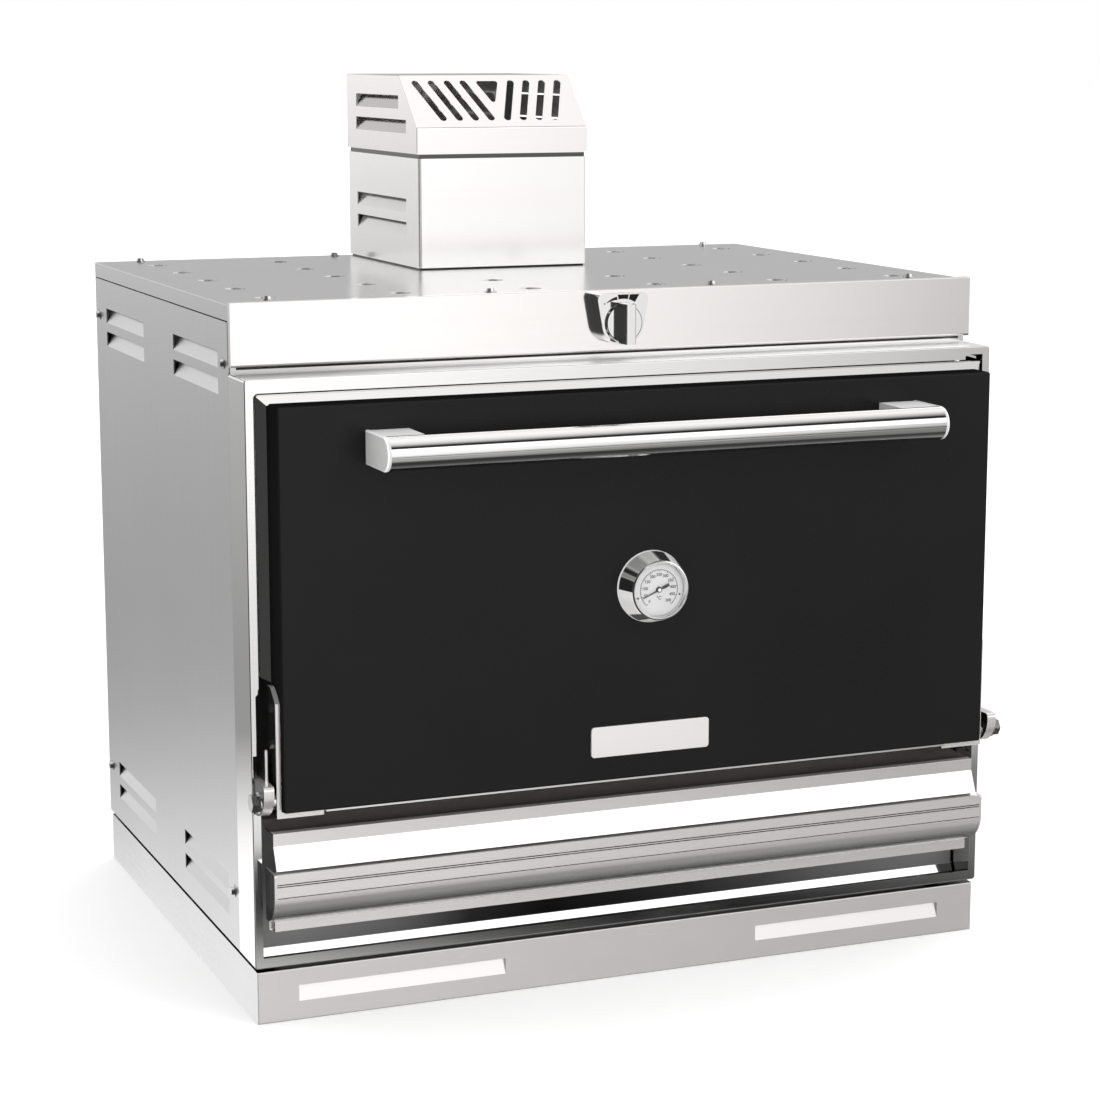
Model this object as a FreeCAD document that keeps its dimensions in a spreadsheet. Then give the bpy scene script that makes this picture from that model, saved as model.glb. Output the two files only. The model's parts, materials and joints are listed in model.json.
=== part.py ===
import FreeCAD, Part
import math
import os
import Sketcher
from FreeCAD import Placement, Rotation, Vector

# Charcoal oven: an insulated steel firebox in a stainless casing, on a plinth,
# with a drop-down door, an ash drawer, a butterfly flue damper and a vented
# chimney. Millimetres, +Z up, front towards -Y. The sizes below are written
# from the front face of the front frame (y = 0 there, +y to the back); every
# piece is shifted by origin_y so the part's origin is the middle of its
# footprint on the floor.

doc = FreeCAD.newDocument("CharcoalOven")
sheet = doc.addObject("Spreadsheet::Sheet", "Dims")


class Q:
    """A number together with the sheet formula that gives it."""

    def __init__(self, v, t):
        self.v = float(v)
        self.t = t

    def __add__(self, o):
        o = q(o)
        return Q(self.v + o.v, "(%s + %s)" % (self.t, o.t))

    def __radd__(self, o):
        return q(o) + self

    def __sub__(self, o):
        o = q(o)
        return Q(self.v - o.v, "(%s - %s)" % (self.t, o.t))

    def __rsub__(self, o):
        return q(o) - self

    def __mul__(self, o):
        o = q(o)
        return Q(self.v * o.v, "(%s * %s)" % (self.t, o.t))

    def __rmul__(self, o):
        return q(o) * self

    def __truediv__(self, o):
        o = q(o)
        return Q(self.v / o.v, "(%s / %s)" % (self.t, o.t))

    def __neg__(self):
        return Q(-self.v, "(0 - %s)" % self.t)


def q(o):
    if isinstance(o, Q):
        return o
    o = round(float(o), 6)
    return Q(o, repr(o) if o >= 0 else "(0 - %r)" % -o)


class D:
    pass


ROW = [1]


def dim(alias, value, note):
    r = ROW[0]
    ROW[0] += 1
    sheet.set("A%d" % r, note)
    sheet.set("B%d" % r, repr(float(value)))
    sheet.setAlias("B%d" % r, alias)
    setattr(D, alias, Q(value, "Dims." + alias))


dim("origin_y", 308.5, "front frame face to the middle of the footprint")
dim("half_w", 485.0, "half width of the casing and front frame")
dim("skin", 1.5, "casing sheet")
dim("plate", 2.0, "frame and door sheet")
dim("plinth_half", 481.9, "half width of the plinth")
dim("plinth_front", 3.2, "plinth front face")
dim("plinth_back", 744.0, "plinth back face")
dim("plinth_top", 64.0, "plinth height")
dim("plinth_flange", 40.0, "plinth flange width")
dim("body_bot", 72.0, "underside of the casing")
dim("cover_top", 845.8, "top of the top cover")
dim("side_front", 66.5, "front edge of the side panels")
dim("side_back", 734.6, "back edge of the side panels")
dim("back_face", 740.0, "back face of the back panel")
dim("cover_flange", 19.3, "top cover side flange")
dim("cover_front", 63.9, "front edge of the top cover")
dim("vent_r", 13.0, "top vent radius")
dim("louvre_len", 208.5, "side louvre length")
dim("louvre_high", 19.5, "louvre height")
dim("louvre_pitch", 31.5, "louvre pitch")
dim("slot_len", 262.0, "plinth slot length")
dim("fascia_front", 53.0, "fascia front face")
dim("fascia_low", 773.6, "fascia lower edge")
dim("fascia_high", 848.4, "fascia upper edge")
dim("frame_low", 69.0, "underside of the front frame")
dim("frame_top", 766.2, "ledge of the front frame")
dim("frame_deep", 66.4, "front frame depth")
dim("open_half", 474.5, "half width of the frame opening")
dim("open_low", 81.6, "frame opening lower edge")
dim("open_high", 749.7, "frame opening upper edge")
dim("frame_round", 4.0, "front frame corner radius")
dim("open_round", 6.0, "frame opening corner radius")
dim("bulk_front", 50.0, "bulkhead front face")
dim("bulk_back", 56.0, "bulkhead back face")
dim("mouth_half", 380.0, "half width of the firebox")
dim("mouth_low", 305.0, "mouth lower edge")
dim("mouth_high", 695.0, "mouth upper edge")
dim("box_wall", 6.0, "firebox plate")
dim("box_floor", 250.0, "firebox floor")
dim("box_roof", 700.0, "firebox roof underside")
dim("box_back", 678.0, "firebox back face")
dim("hop_half", 300.0, "half width of the ash opening")
dim("door_half", 459.9, "half width of the door")
dim("door_low", 267.6, "door lower edge")
dim("door_high", 738.8, "door upper edge")
dim("door_front", -45.2, "door front face")
dim("tray_back", -9.0, "back edge of the black door panel")
dim("plug_front", 14.0, "front of the door plug")
dim("plug_back", 47.0, "back face of the door")
dim("plug_step", 3.0, "step of the door plug")
dim("pivot_y", -26.0, "door pivot")
dim("pivot_z", 279.0, "door pivot height")
dim("pivot_r", 6.0, "pivot bolt radius")
dim("run_fit", 0.06, "radial running clearance")
dim("lug_in", 470.6, "hinge lug inner face")
dim("lug_out", 482.8, "hinge lug outer face")
dim("lug_nose", -44.0, "hinge lug nose")
dim("lug_low", 260.0, "hinge lug lower edge")
dim("lug_high", 301.0, "hinge lug upper edge")
dim("lug_round", 34.0, "hinge lug nose radius")
dim("brk_in", 460.0, "hinge bracket inner face")
dim("brk_out", 465.5, "hinge bracket outer face")
dim("brk_front", -36.0, "hinge bracket front edge")
dim("brk_back", -5.0, "hinge bracket back edge")
dim("brk_low", 260.0, "hinge bracket lower face")
dim("brk_leg", 409.0, "end of the bracket's leg")
dim("bar_y", -107.0, "handle bar axis")
dim("bar_z", 688.5, "handle bar axis height")
dim("bar_r", 20.0, "handle bar radius")
dim("bar_half", 352.0, "half length of the handle bar")
dim("blk_in", 304.0, "handle block inner face")
dim("gauge_z", 501.5, "thermometer axis height")
dim("gauge_base", 44.0, "thermometer bezel base radius")
dim("gauge_ring", 37.0, "thermometer bezel front radius")
dim("gauge_deep", 29.5, "thermometer bezel depth")
dim("badge_half", 77.5, "half width of the nameplate")
dim("badge_low", 297.0, "nameplate lower edge")
dim("badge_high", 334.4, "nameplate upper edge")
dim("sill_z", 236.6, "sill upper face")
dim("defl_half", 465.0, "half width of the deflector")
dim("low_front", 42.0, "lower front panel face")
dim("foot_bend", 83.2, "bend where the lower front panel kicks forward")
dim("foot_low", 71.4, "lower edge of the lower front panel")
dim("slot_half", 392.0, "half width of the drawer opening")
dim("slot_low", 114.0, "drawer opening lower edge")
dim("slot_high", 190.0, "drawer opening upper edge")
dim("draw_half", 470.0, "half width of the drawer front")
dim("draw_front", -36.0, "drawer front face")
dim("draw_top", 192.6, "drawer front upper edge")
dim("tray_half", 385.0, "half width of the ash tray")
dim("tray_low", 118.0, "ash tray underside")
dim("tray_high", 186.0, "ash tray rim")
dim("tray_end", 600.0, "ash tray back")
dim("flue_y", 591.0, "flue axis")
dim("flue_half", 75.0, "half of the flue's inner width")
dim("flue_top", 905.0, "top of the flue throat")
dim("knob_z", 810.3, "damper axis height")
dim("knob_x", -5.0, "damper axis, off the middle")
dim("shaft_r", 8.0, "damper shaft radius")
dim("knob_r", 24.0, "damper knob radius")
dim("chim_half", 119.3, "half width of the chimney box")
dim("chim_front", 442.3, "chimney box front face")
dim("chim_back", 739.6, "chimney box back face")
dim("chim_top", 991.3, "chimney box top")
dim("hood_half", 120.7, "half width of the hood")
dim("hood_front", 444.9, "hood front face")
dim("hood_back", 741.1, "hood back face")
dim("hood_low", 997.2, "hood lower edge")
dim("hood_knee", 1031.1, "hood knee height")
dim("hood_crest", 515.1, "top of the hood's slope")
dim("hood_top", 1098.4, "hood top")
doc.recompute()

PIECES = []


def Y(v):
    return q(v) - D.origin_y


def bind(o, prop, e):
    e = q(e)
    setattr(o, prop, e.v)
    o.setExpression(prop, e.t)


def place(o, x, y, z, rot=None):
    x, y, z = q(x), q(y), q(z)
    o.Placement = Placement(Vector(x.v, y.v, z.v), rot or Rotation())
    o.setExpression("Placement.Base.x", x.t)
    o.setExpression("Placement.Base.y", y.t)
    o.setExpression("Placement.Base.z", z.t)


def box(x0, x1, y0, y1, z0, z1):
    o = doc.addObject("Part::Box", "Box")
    bind(o, "Length", q(x1) - x0)
    bind(o, "Width", q(y1) - y0)
    bind(o, "Height", q(z1) - z0)
    place(o, x0, Y(y0), z0)
    return o


AXES = {"X": Rotation(Vector(0, 1, 0), 90), "Y": Rotation(Vector(1, 0, 0), -90), "Z": Rotation()}


def cyl(axis, r, length, x, y, z):
    o = doc.addObject("Part::Cylinder", "Cyl")
    bind(o, "Radius", r)
    bind(o, "Height", length)
    place(o, x, Y(y), z, AXES[axis])
    return o


def cone(rot, r1, r2, length, x, y, z):
    o = doc.addObject("Part::Cone", "Cone")
    bind(o, "Radius1", r1)
    bind(o, "Radius2", r2)
    bind(o, "Height", length)
    place(o, x, Y(y), z, rot)
    return o


def fuse(*parts):
    o = doc.addObject("Part::MultiFuse", "Fuse")
    o.Shapes = list(parts)
    o.Refine = True
    return o


def cut(base, *tools):
    o = doc.addObject("Part::Cut", "Cut")
    o.Base = base
    o.Tool = tools[0] if len(tools) == 1 else fuse(*tools)
    o.Refine = True
    return o


def group(parts):
    o = doc.addObject("Part::Compound", "Group")
    o.Links = list(parts)
    return o


def mirror_x(a, b, side):
    return (a, b) if side > 0 else (-q(b), -q(a))


def sketch_on(body, plane, off, tilt=None, base=None):
    sk = body.newObject("Sketcher::SketchObject", "Sketch")
    org = [f for f in body.Origin.OriginFeatures if f.Role == plane][0]
    sk.AttachmentSupport = [(org, "")]
    sk.MapMode = "FlatFace"
    if tilt is None:
        off = q(off)
        sk.AttachmentOffset = Placement(Vector(0, 0, off.v), Rotation())
        sk.setExpression("AttachmentOffset.Base.z", off.t)
    else:
        sk.AttachmentOffset = Placement(base, tilt)
    return sk


def outline(sk, pts):
    """Closed outline; each point is (u, v) or (u, v, (mu, mv)) where the
    middle point makes the edge that leaves it an arc."""
    n = len(pts)
    us = [(q(p[0]), q(p[1])) for p in pts]
    ends = []
    for i, p in enumerate(pts):
        a = Vector(us[i][0].v, us[i][1].v, 0)
        b = Vector(us[(i + 1) % n][0].v, us[(i + 1) % n][1].v, 0)
        if len(p) > 2:
            m = Vector(p[2][0], p[2][1], 0)
            if (m - a).cross(b - m).z > 0:
                g = sk.addGeometry(Part.Arc(a, m, b), False)
                ends.append((g, 1, 2))
            else:
                g = sk.addGeometry(Part.Arc(b, m, a), False)
                ends.append((g, 2, 1))
            if (b - a).Length < 1.98 * sk.Geometry[g].Radius:
                sk.addConstraint(Sketcher.Constraint("Radius", g, sk.Geometry[g].Radius))
        else:
            g = sk.addGeometry(Part.LineSegment(a, b), False)
            ends.append((g, 1, 2))
    for i in range(n):
        g, s, e = ends[i]
        g2, s2, e2 = ends[(i + 1) % n]
        sk.addConstraint(Sketcher.Constraint("Coincident", g, e, g2, s2))
    for i in range(n):
        g, s, e = ends[i]
        for k, (name, axis) in enumerate((("DistanceX", -2), ("DistanceY", -1))):
            c = us[i][k]
            if abs(c.v) < 1e-9:
                sk.addConstraint(Sketcher.Constraint("PointOnObject", g, s, axis))
            else:
                j = sk.addConstraint(Sketcher.Constraint(name, -1, 1, g, s, c.v))
                sk.setExpression("Constraints[%d]" % j, c.t)


def prism(plane, pts, a0, a1, rounds=None, tilt=None, base=None):
    """Padded outline. plane YZ: points (y, z), along X; XZ: points (x, z),
    along Y; XY: points (x, y), along Z. rounds: list of (radius, [(u, v), ...])
    for corner edges along the pad."""
    body = doc.addObject("PartDesign::Body", "Body")
    if tilt is not None:
        sk = sketch_on(body, "XZ_Plane", 0, tilt, base)
        loc = list(pts)
    elif plane == "YZ":
        sk = sketch_on(body, "YZ_Plane", a0)
        loc = [(Y(p[0]), p[1]) if len(p) < 3 else (Y(p[0]), p[1], (p[2][0] - D.origin_y.v, p[2][1])) for p in pts]
    elif plane == "XZ":
        sk = sketch_on(body, "XZ_Plane", -Y(a1))
        loc = list(pts)
    else:
        sk = sketch_on(body, "XY_Plane", a0)
        loc = [(p[0], Y(p[1])) if len(p) < 3 else (p[0], Y(p[1]), (p[2][0], p[2][1] - D.origin_y.v)) for p in pts]
    outline(sk, loc)
    pad = body.newObject("PartDesign::Pad", "Pad")
    pad.Profile = sk
    bind(pad, "Length", q(a1) - a0)
    body.Tip = pad
    doc.recompute()
    feat = pad
    for radius, corners in rounds or []:
        names = []
        for i, e in enumerate(feat.Shape.Edges):
            if len(e.Vertexes) != 2:
                continue
            p, r = e.Vertexes[0].Point, e.Vertexes[1].Point
            for u, v in corners:
                u, v = q(u).v, q(v).v
                if plane == "YZ":
                    u -= D.origin_y.v
                    hit = all(abs(w.y - u) < 1e-3 and abs(w.z - v) < 1e-3 for w in (p, r))
                elif plane == "XZ":
                    hit = all(abs(w.x - u) < 1e-3 and abs(w.z - v) < 1e-3 for w in (p, r))
                else:
                    v -= D.origin_y.v
                    hit = all(abs(w.x - u) < 1e-3 and abs(w.y - v) < 1e-3 for w in (p, r))
                if hit:
                    names.append("Edge%d" % (i + 1))
        if len(names) != len(corners):
            raise RuntimeError("corner edges found %d of %d" % (len(names), len(corners)))
        feat = round_edges(body, feat, names, radius)
    return body


def round_edges(body, feat, names, radius):
    f = body.newObject("PartDesign::Fillet", "Fillet")
    f.Base = (feat, names)
    bind(f, "Radius", radius)
    body.Tip = f
    doc.recompute()
    return f


def round_face(body, radius, test):
    """Round every edge of the body whose two ends and middle pass the test."""
    feat = body.Tip
    names = []
    for i, e in enumerate(feat.Shape.Edges):
        mid = e.valueAt((e.FirstParameter + e.LastParameter) / 2)
        ps = [v.Point for v in e.Vertexes] + [mid]
        if all(test(w) for w in ps):
            names.append("Edge%d" % (i + 1))
    if not names:
        raise RuntimeError("no edges to round")
    return round_edges(body, feat, names, radius)


def turned(pts, z):
    """Solid of revolution about the line along Y at height z; points (r, y)."""
    body = doc.addObject("PartDesign::Body", "Body")
    sk = sketch_on(body, "XY_Plane", z)
    outline(sk, [(p[0], Y(p[1])) for p in pts])
    rev = body.newObject("PartDesign::Revolution", "Revolution")
    rev.Profile = sk
    rev.ReferenceAxis = (sk, ["V_Axis"])
    rev.Angle = 360.0
    body.Tip = rev
    doc.recompute()
    return body


def piece(name, obj):
    obj.Label = name
    PIECES.append((name, obj))
    return obj


PHI = 26.0
CO, SI = math.cos(math.radians(PHI)), math.sin(math.radians(PHI))


def side_louvre(side, face, thick, y0, y1, z0, high):
    """Window in a side wall at x = face, and the blade bent inwards about the
    window's lower edge, its two ends left open."""
    face, z0, high = q(face), q(z0), q(high)
    a, b = mirror_x(face - 4, face + 4, side)
    win = box(a, b, y0, y1, z0, z0 + high)
    o = doc.addObject("Part::Box", "Blade")
    bind(o, "Length", thick)
    bind(o, "Width", q(y1) - y0)
    bind(o, "Height", high)
    t = q(thick).v
    if side < 0:
        x, z, ang = -face.v + 0.05, z0.v - 0.1, PHI
    else:
        x, z, ang = face.v - 0.05 - t * CO, z0.v - 0.1 - t * SI, -PHI
    o.Placement = Placement(Vector(x, Y(y0).v, z), Rotation(Vector(0, 1, 0), ang))
    return win, o


def front_louvre(x0, x1, face, thick, z0, high):
    face, z0, high = q(face), q(z0), q(high)
    win = box(x0, x1, face - 3, face + 5, z0, z0 + high)
    o = doc.addObject("Part::Box", "Blade")
    bind(o, "Length", q(x1) - x0)
    bind(o, "Width", thick)
    bind(o, "Height", high)
    o.Placement = Placement(Vector(q(x0).v, Y(face).v + 0.05, z0.v - 0.1), Rotation(Vector(1, 0, 0), -14.0))
    return win, o


T, P, HW = D.skin, D.plate, D.half_w

# ---- plinth -------------------------------------------------------------
pf, pb, ph = D.plinth_front, D.plinth_back, D.plinth_half
inner = ph - P
rail = prism("XZ", [(-ph, 0), (ph, 0), (ph, D.plinth_top), (-ph, D.plinth_top)], pf, pf + P)
y_rail = pf.v - D.origin_y.v
round_face(rail, 1.3, lambda w: abs(w.y - y_rail) < 1e-3)
parts = [rail,
         box(-inner, inner, pf + P, pf + D.plinth_flange, 0, P),
         box(-inner, inner, pf + P, pf + D.plinth_flange, D.plinth_top - P, D.plinth_top)]
wins, blades = [], []
for s in (-1, 1):
    x0 = 300 - D.slot_len / 2 if s > 0 else -300 - D.slot_len / 2
    w, b = front_louvre(x0, x0 + D.slot_len, pf, P, 23.3, D.louvre_high)
    wins.append(w)
    blades.append(b)
piece("plinth_front", fuse(cut(fuse(*parts), *wins), *blades))

parts = []
for s in (-1, 1):
    a, b = mirror_x(inner, ph, s)
    parts.append(box(a, b, pf + P, pb, 0, D.plinth_top))
    a, b = mirror_x(inner - D.plinth_flange, inner + 0.5, s)
    for z in (q(0), D.plinth_top - P):
        parts.append(box(a, b, pf + D.plinth_flange, pb, z, z + P))
parts.append(box(-inner - 0.5, inner + 0.5, pb - P, pb, 0, D.plinth_top))
for z in (q(0), D.plinth_top - P):
    parts.append(box(-inner, inner, pb - D.plinth_flange, pb - 0.5, z, z + P))
piece("plinth_frame", fuse(*parts))

pads = []
for s in (-1, 1):
    a, b = mirror_x(442, 470, s)
    for y in (68, 690):
        pads.append(box(a, b, y, y + 40, D.plinth_top, D.body_bot))
piece("plinth_pads", group(pads))

# ---- casing -------------------------------------------------------------
piece("base_floor", prism("XY", [(-HW + 1.6, D.side_front), (HW - 1.6, D.side_front), (HW - 1.6, D.side_back - 0.2), (-HW + 1.6, D.side_back - 0.2)],
                          D.body_bot, D.body_bot + P))

for s, name in ((-1, "side_panel_left"), (1, "side_panel_right")):
    a, b = mirror_x(HW - T, HW, s)
    panel = box(a, b, D.side_front, D.side_back, D.body_bot, D.cover_top - D.cover_flange - 1.5)
    wins, blades = [], []
    for y0 in (110.0, 470.5):
        for z0 in (104.8, 737.0):
            for k in (0, 1):
                w, bl = side_louvre(s, HW, T, y0, y0 + D.louvre_len, z0 + k * D.louvre_pitch, D.louvre_high)
                wins.append(w)
                blades.append(bl)
    piece(name, fuse(cut(panel, *wins), *blades))

bk = [box(-HW, HW, D.back_face - T, D.back_face, D.body_bot, D.cover_top - T)]
for s in (-1, 1):
    a, b = mirror_x(HW - T, HW, s)
    bk.append(box(a, b, D.side_back + 0.1, D.back_face, D.body_bot, D.cover_top - T))
piece("back_panel", fuse(*bk))

fy, fh = D.flue_y, D.flue_half
zt, zl = D.cover_top, D.cover_top - D.cover_flange
cover = [prism("XZ", [(-HW, zl), (-HW, zt), (HW, zt), (HW, zl), (HW - T, zl), (HW - T, zt - T), (-HW + T, zt - T), (-HW + T, zl)],
               D.cover_front, D.side_back, [(1.2, [(-HW, zt), (HW, zt)])]),
         prism("XZ", [(-HW, zt - T), (-HW, zt), (HW, zt), (HW, zt - T)], D.side_back - 0.5, D.back_face, [(1.2, [(-HW, zt), (HW, zt)])])]
holes = [box(-fh - 7, fh + 7, fy - fh - 7, fy + fh + 7, D.cover_top - 5, D.cover_top + 5)]
for x in (-420, -252, -84, 84, 252, 420):
    for y in (133, 263, 392.5, 522, 651.5):
        if abs(x) < 100 and y > 300:
            continue
        cover.append(cyl("Z", D.vent_r + 1.4, 5, x, y, D.cover_top - 5))
        holes.append(cyl("Z", D.vent_r, 16, x, y, D.cover_top - 8))
piece("top_cover", cut(fuse(*cover), *holes))

fl, fhigh, ff = D.fascia_low, D.fascia_high, D.fascia_front
fas = prism("YZ", [(ff, fl), (ff + 10.8, fl), (ff + 10.8, fl + T), (ff + T, fl + T), (ff + T, fhigh - T),
                   (ff + 10.8, fhigh - T), (ff + 10.8, fhigh), (ff, fhigh)], -HW, HW,
            [(3.0, [(ff, fl)]), (1.2, [(ff, fhigh)])])
ends = []
for s in (-1, 1):
    a, b = mirror_x(HW - T, HW, s)
    ends.append(box(a, b, ff + 1.2, ff + 10.8, fl + 0.7, fhigh))
piece("fascia", cut(fuse(fas, *ends), cyl("Y", 10.05, 12, D.knob_x, ff - 4, D.knob_z)))

# ---- front frame --------------------------------------------------------
bb, ft, fd, oh = D.frame_low, D.frame_top, D.frame_deep, D.open_half
outer = prism("XZ", [(-HW, bb), (HW, bb), (HW, ft), (-HW, ft)], 0, fd,
              [(D.frame_round, [(-HW, bb), (HW, bb), (HW, ft), (-HW, ft)])])
y_front = -D.origin_y.v
round_face(outer, 1.6, lambda w: abs(w.y - y_front) < 1e-3)
hollow = box(-HW + P, HW - P, P, 90, bb + P, ft - P)
mouth = prism("XZ", [(-oh, D.open_low), (oh, D.open_low), (oh, D.open_high), (-oh, D.open_high)], -5, 70,
              [(D.open_round, [(oh, D.open_high), (-oh, D.open_high)])])
ring = prism("XZ", [(-oh - P, bb + 1.5), (oh + P, bb + 1.5), (oh + P, D.open_high + P), (-oh - P, D.open_high + P)],
             1.5, 48, [(D.open_round, [(oh + P, D.open_high + P), (-oh - P, D.open_high + P)])])
pit = box(-oh, oh, P, 70, bb + P, D.open_low + 1)
upstand = box(-HW + P, HW - P, 64.0, 66.0, ft - 1, 840)
ledge = fuse(cut(outer, hollow), ring, upstand)
notches = [cyl("Y", 10.2, 20, D.knob_x, 55, D.knob_z), box(450, 474.4, -5, 30, 744, 756), box(-476, 476, 63, 67, 769.9, 779)]
for s in (-1, 1):
    pts = [(470, 258), (483, 258), (483, 327.5), (478.5, 327.5), (478.5, 398), (470, 406)]
    notches.append(prism("XZ", [(s * u, v) for u, v in pts], -5, 62))
piece("front_frame", cut(ledge, mouth, pit, *notches))

piece("door_catch", fuse(prism("XZ", [(452, 757.5), (470, 752.5), (470, 749.8), (452, 754.8)], 8, 28),
                         box(452, 456, 10, 26, 755.5, ft - P)))

# ---- bulkhead, sill and lower front -------------------------------------
mh = D.mouth_half
piece("front_bulkhead", cut(box(-HW + 2.2, HW - 2.2, D.bulk_front, D.bulk_back, 200, ft - P),
                            box(-mh, mh, 40, 70, D.mouth_low, D.mouth_high)))
sz = D.sill_z
piece("sill_deflector", prism("YZ", [(D.bulk_front, sz), (-16.5, sz), (-16.5, 221.5), (-28.6, 194.6), (-26.4, 194.6),
                                     (-14.5, 221.1), (-14.5, sz - 2), (D.bulk_front, sz - 2)],
                              -D.defl_half, D.defl_half, [(0.6, [(-16.5, sz)])]))
lw, lf, fb, fl = oh - 2.4, D.low_front, D.foot_bend, D.foot_low
kick = 0.445 * (fb - fl)
piece("lower_front_panel", cut(prism("YZ", [(lf, sz - 2), (lf, fb), (lf - kick, fl), (lf - kick + 2.2, fl), (lf + P, fb - 0.4), (lf + P, sz - 2)], -lw, lw),
                               box(-D.slot_half, D.slot_half, 20, 60, D.slot_low, D.slot_high)))

# ---- firebox ------------------------------------------------------------
w, bf, br, by = D.box_wall, D.box_floor, D.box_roof, D.box_back
for s, name in ((-1, "firebox_left_wall"), (1, "firebox_right_wall")):
    a, b = mirror_x(mh, mh + w, s)
    piece(name, fuse(box(a, b, D.bulk_back, by, bf, br), box(*mirror_x(mh + w, mh + w + 14, s), D.bulk_back, D.bulk_back + 3, bf, br)))
piece("firebox_back_wall", fuse(box(-mh, mh, by - w, by, bf, br), box(-mh, mh, by - w - 8, by - w, bf, bf + 6)))
piece("firebox_roof", cut(box(-mh - w, mh + w, D.bulk_back, by, br, br + w),
                          box(-fh, fh, fy - fh, fy + fh, br - 10, br + 20)))
hop = D.hop_half
plate = cut(box(-mh - w, mh + w, D.bulk_back, by, bf - w, bf), box(-hop, hop, 120, 600, bf - 20, bf + 10))
chute = cut(box(-hop - 3, hop + 3, 117, 603, 196, bf - w + 0.5), box(-hop, hop, 120, 600, 180, bf + 10))
piece("ash_hopper", fuse(plate, chute))

bars = [box(-360, -346, 84, 650, 292, 306), box(346, 360, 84, 650, 292, 306)]
for i in range(15):
    y = 84 + i * 39.57
    bars.append(box(-347, 347, y, y + 12, 294, 306))
piece("fire_grate", fuse(*bars))
piece("grate_bearers", group([box(*mirror_x(334, 345, s), 84, 650, bf, 292) for s in (-1, 1)]))

for s, name in ((-1, "rack_rail_left"), (1, "rack_rail_right")):
    pts = [(380, 470), (380, 490), (377.5, 490), (377.5, 472.5), (360, 472.5), (360, 470)]
    if s < 0:
        pts = [(-u, v) for u, v in pts]
    piece(name, prism("XZ", pts, 84, 650))
rods = [box(-374, 374, 92, 102, 472.6, 482.6), box(-374, 374, 632, 642, 472.6, 482.6)]
for i in range(19):
    rods.append(cyl("Y", 3.5, 534, -351 + i * 39, 100, 478))
for s in (-1, 1):
    rods.append(box(*mirror_x(364, 374, s), 92, 642, 472.6, 482.6))
piece("grill_rack", fuse(*rods))

piece("body_insulation", cut(box(-470, 470, 62, 733, bf, br),
                             box(-mh - w - 0.2, mh + w + 0.2, 50, by + 0.2, bf - 10, br + 10)))
piece("roof_insulation", cut(box(-470, 470, 68, 733, br + w, 768),
                             box(-fh - 5, fh + 5, fy - fh - 5, fy + fh + 5, br, 800)))

# ---- flue and damper ----------------------------------------------------
sr, kx, kz = D.shaft_r, D.knob_x, D.knob_z
tube = cut(box(-fh - 3, fh + 3, fy - fh - 3, fy + fh + 3, br + w, D.flue_top),
           box(-fh, fh, fy - fh, fy + fh, br, D.flue_top + 20))
piece("flue_throat", cut(tube, cyl("Y", sr + D.run_fit, 200, kx, 490, kz)))
sl, sr2 = (kx - 34.4, 846), (kx + 34.4, 846)
shield = fuse(cyl("Y", 27.5, ff - 30.5, kx, 30.5, kz),
              prism("XZ", [sl, sr2, (kx + 27.3, kz - 3), (kx - 27.3, kz - 3)], 30.5, ff, [(8, [sl, sr2])]))
piece("knob_plate", cut(shield, cyl("Y", 23, 40, kx, 33, kz), cyl("Y", 8.6, 60, kx, 20, kz)))
piece("damper_bush", cut(fuse(cyl("Y", 9.95, 15, kx, ff + 0.2, kz), cyl("Y", 14, 3, kx, ff + T + 0.2, kz)),
                         cyl("Y", sr + D.run_fit, 40, kx, ff - 10, kz)))
gl, gr2 = (kx - 6.6, 5.5), (kx + 6.6, 5.5)
grip = prism("XY", [(kx - 7.6, 25.5), (kx + 7.6, 25.5), (kx + 7.6, 15.4), (kx + 6.6, 15.4), gr2, gl, (kx - 6.6, 15.4), (kx - 7.6, 15.4)],
             kz - D.knob_r, kz + D.knob_r,
             [(1.8, [gr2, gl])])
piece("damper_knob", fuse(grip, cone(AXES["Y"], D.knob_r - 1.2, D.knob_r, 4.7, kx, 25.5, kz)))
piece("damper_shaft", fuse(cyl("Y", sr, 646, kx, 30.2, kz), cyl("Y", 5, 6, kx, 675, kz)))
wing = doc.addObject("Part::Box", "Wing")
bind(wing, "Length", 128)
bind(wing, "Width", 146)
bind(wing, "Height", 3)
c45 = math.sqrt(0.5)
wing.Placement = Placement(Vector(kx.v + 64 * c45 - 1.5 * c45, Y(518).v, kz.v - 64 * c45 - 1.5 * c45), Rotation(Vector(0, 1, 0), -135))
piece("damper_flap", cut(fuse(wing, cyl("Y", 11.5, 146, kx, 518, kz)), cyl("Y", sr + 0.01, 200, kx, 500, kz)))

# ---- chimney ------------------------------------------------------------
ch, cf, cb, ct = D.chim_half, D.chim_front, D.chim_back, D.chim_top
foot = D.cover_top + 2.4
shell = prism("XY", [(-ch, cf + 2), (ch, cf + 2), (ch, cb), (-ch, cb)], foot, ct,
              [(2, [(ch, cb), (-ch, cb)]), (3.2, [(-ch, cf + 2), (ch, cf + 2)])])
shell = cut(shell, box(-ch + T, ch - T, cf + 2 + T, cb - T, D.cover_top - 10, ct + 10))
skin = prism("XZ", [(-ch + 3.6, foot), (ch - 3.6, foot), (ch - 3.6, ct), (-ch + 3.6, ct)], cf, cf + 2)
well = box(-ch + 12, ch - 12, cf + 14, cb - 12, D.cover_top - 5, foot + 8)
rims = [cut(fuse(box(-ch + 3, ch - 3, cf + 5, cb - 3, D.cover_top, foot + 1.5), box(-ch + 0.7, ch - 0.7, cf + 2.7, cb - 0.7, foot, foot + 1.5)), well)]
wins, blades = [], []
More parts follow.
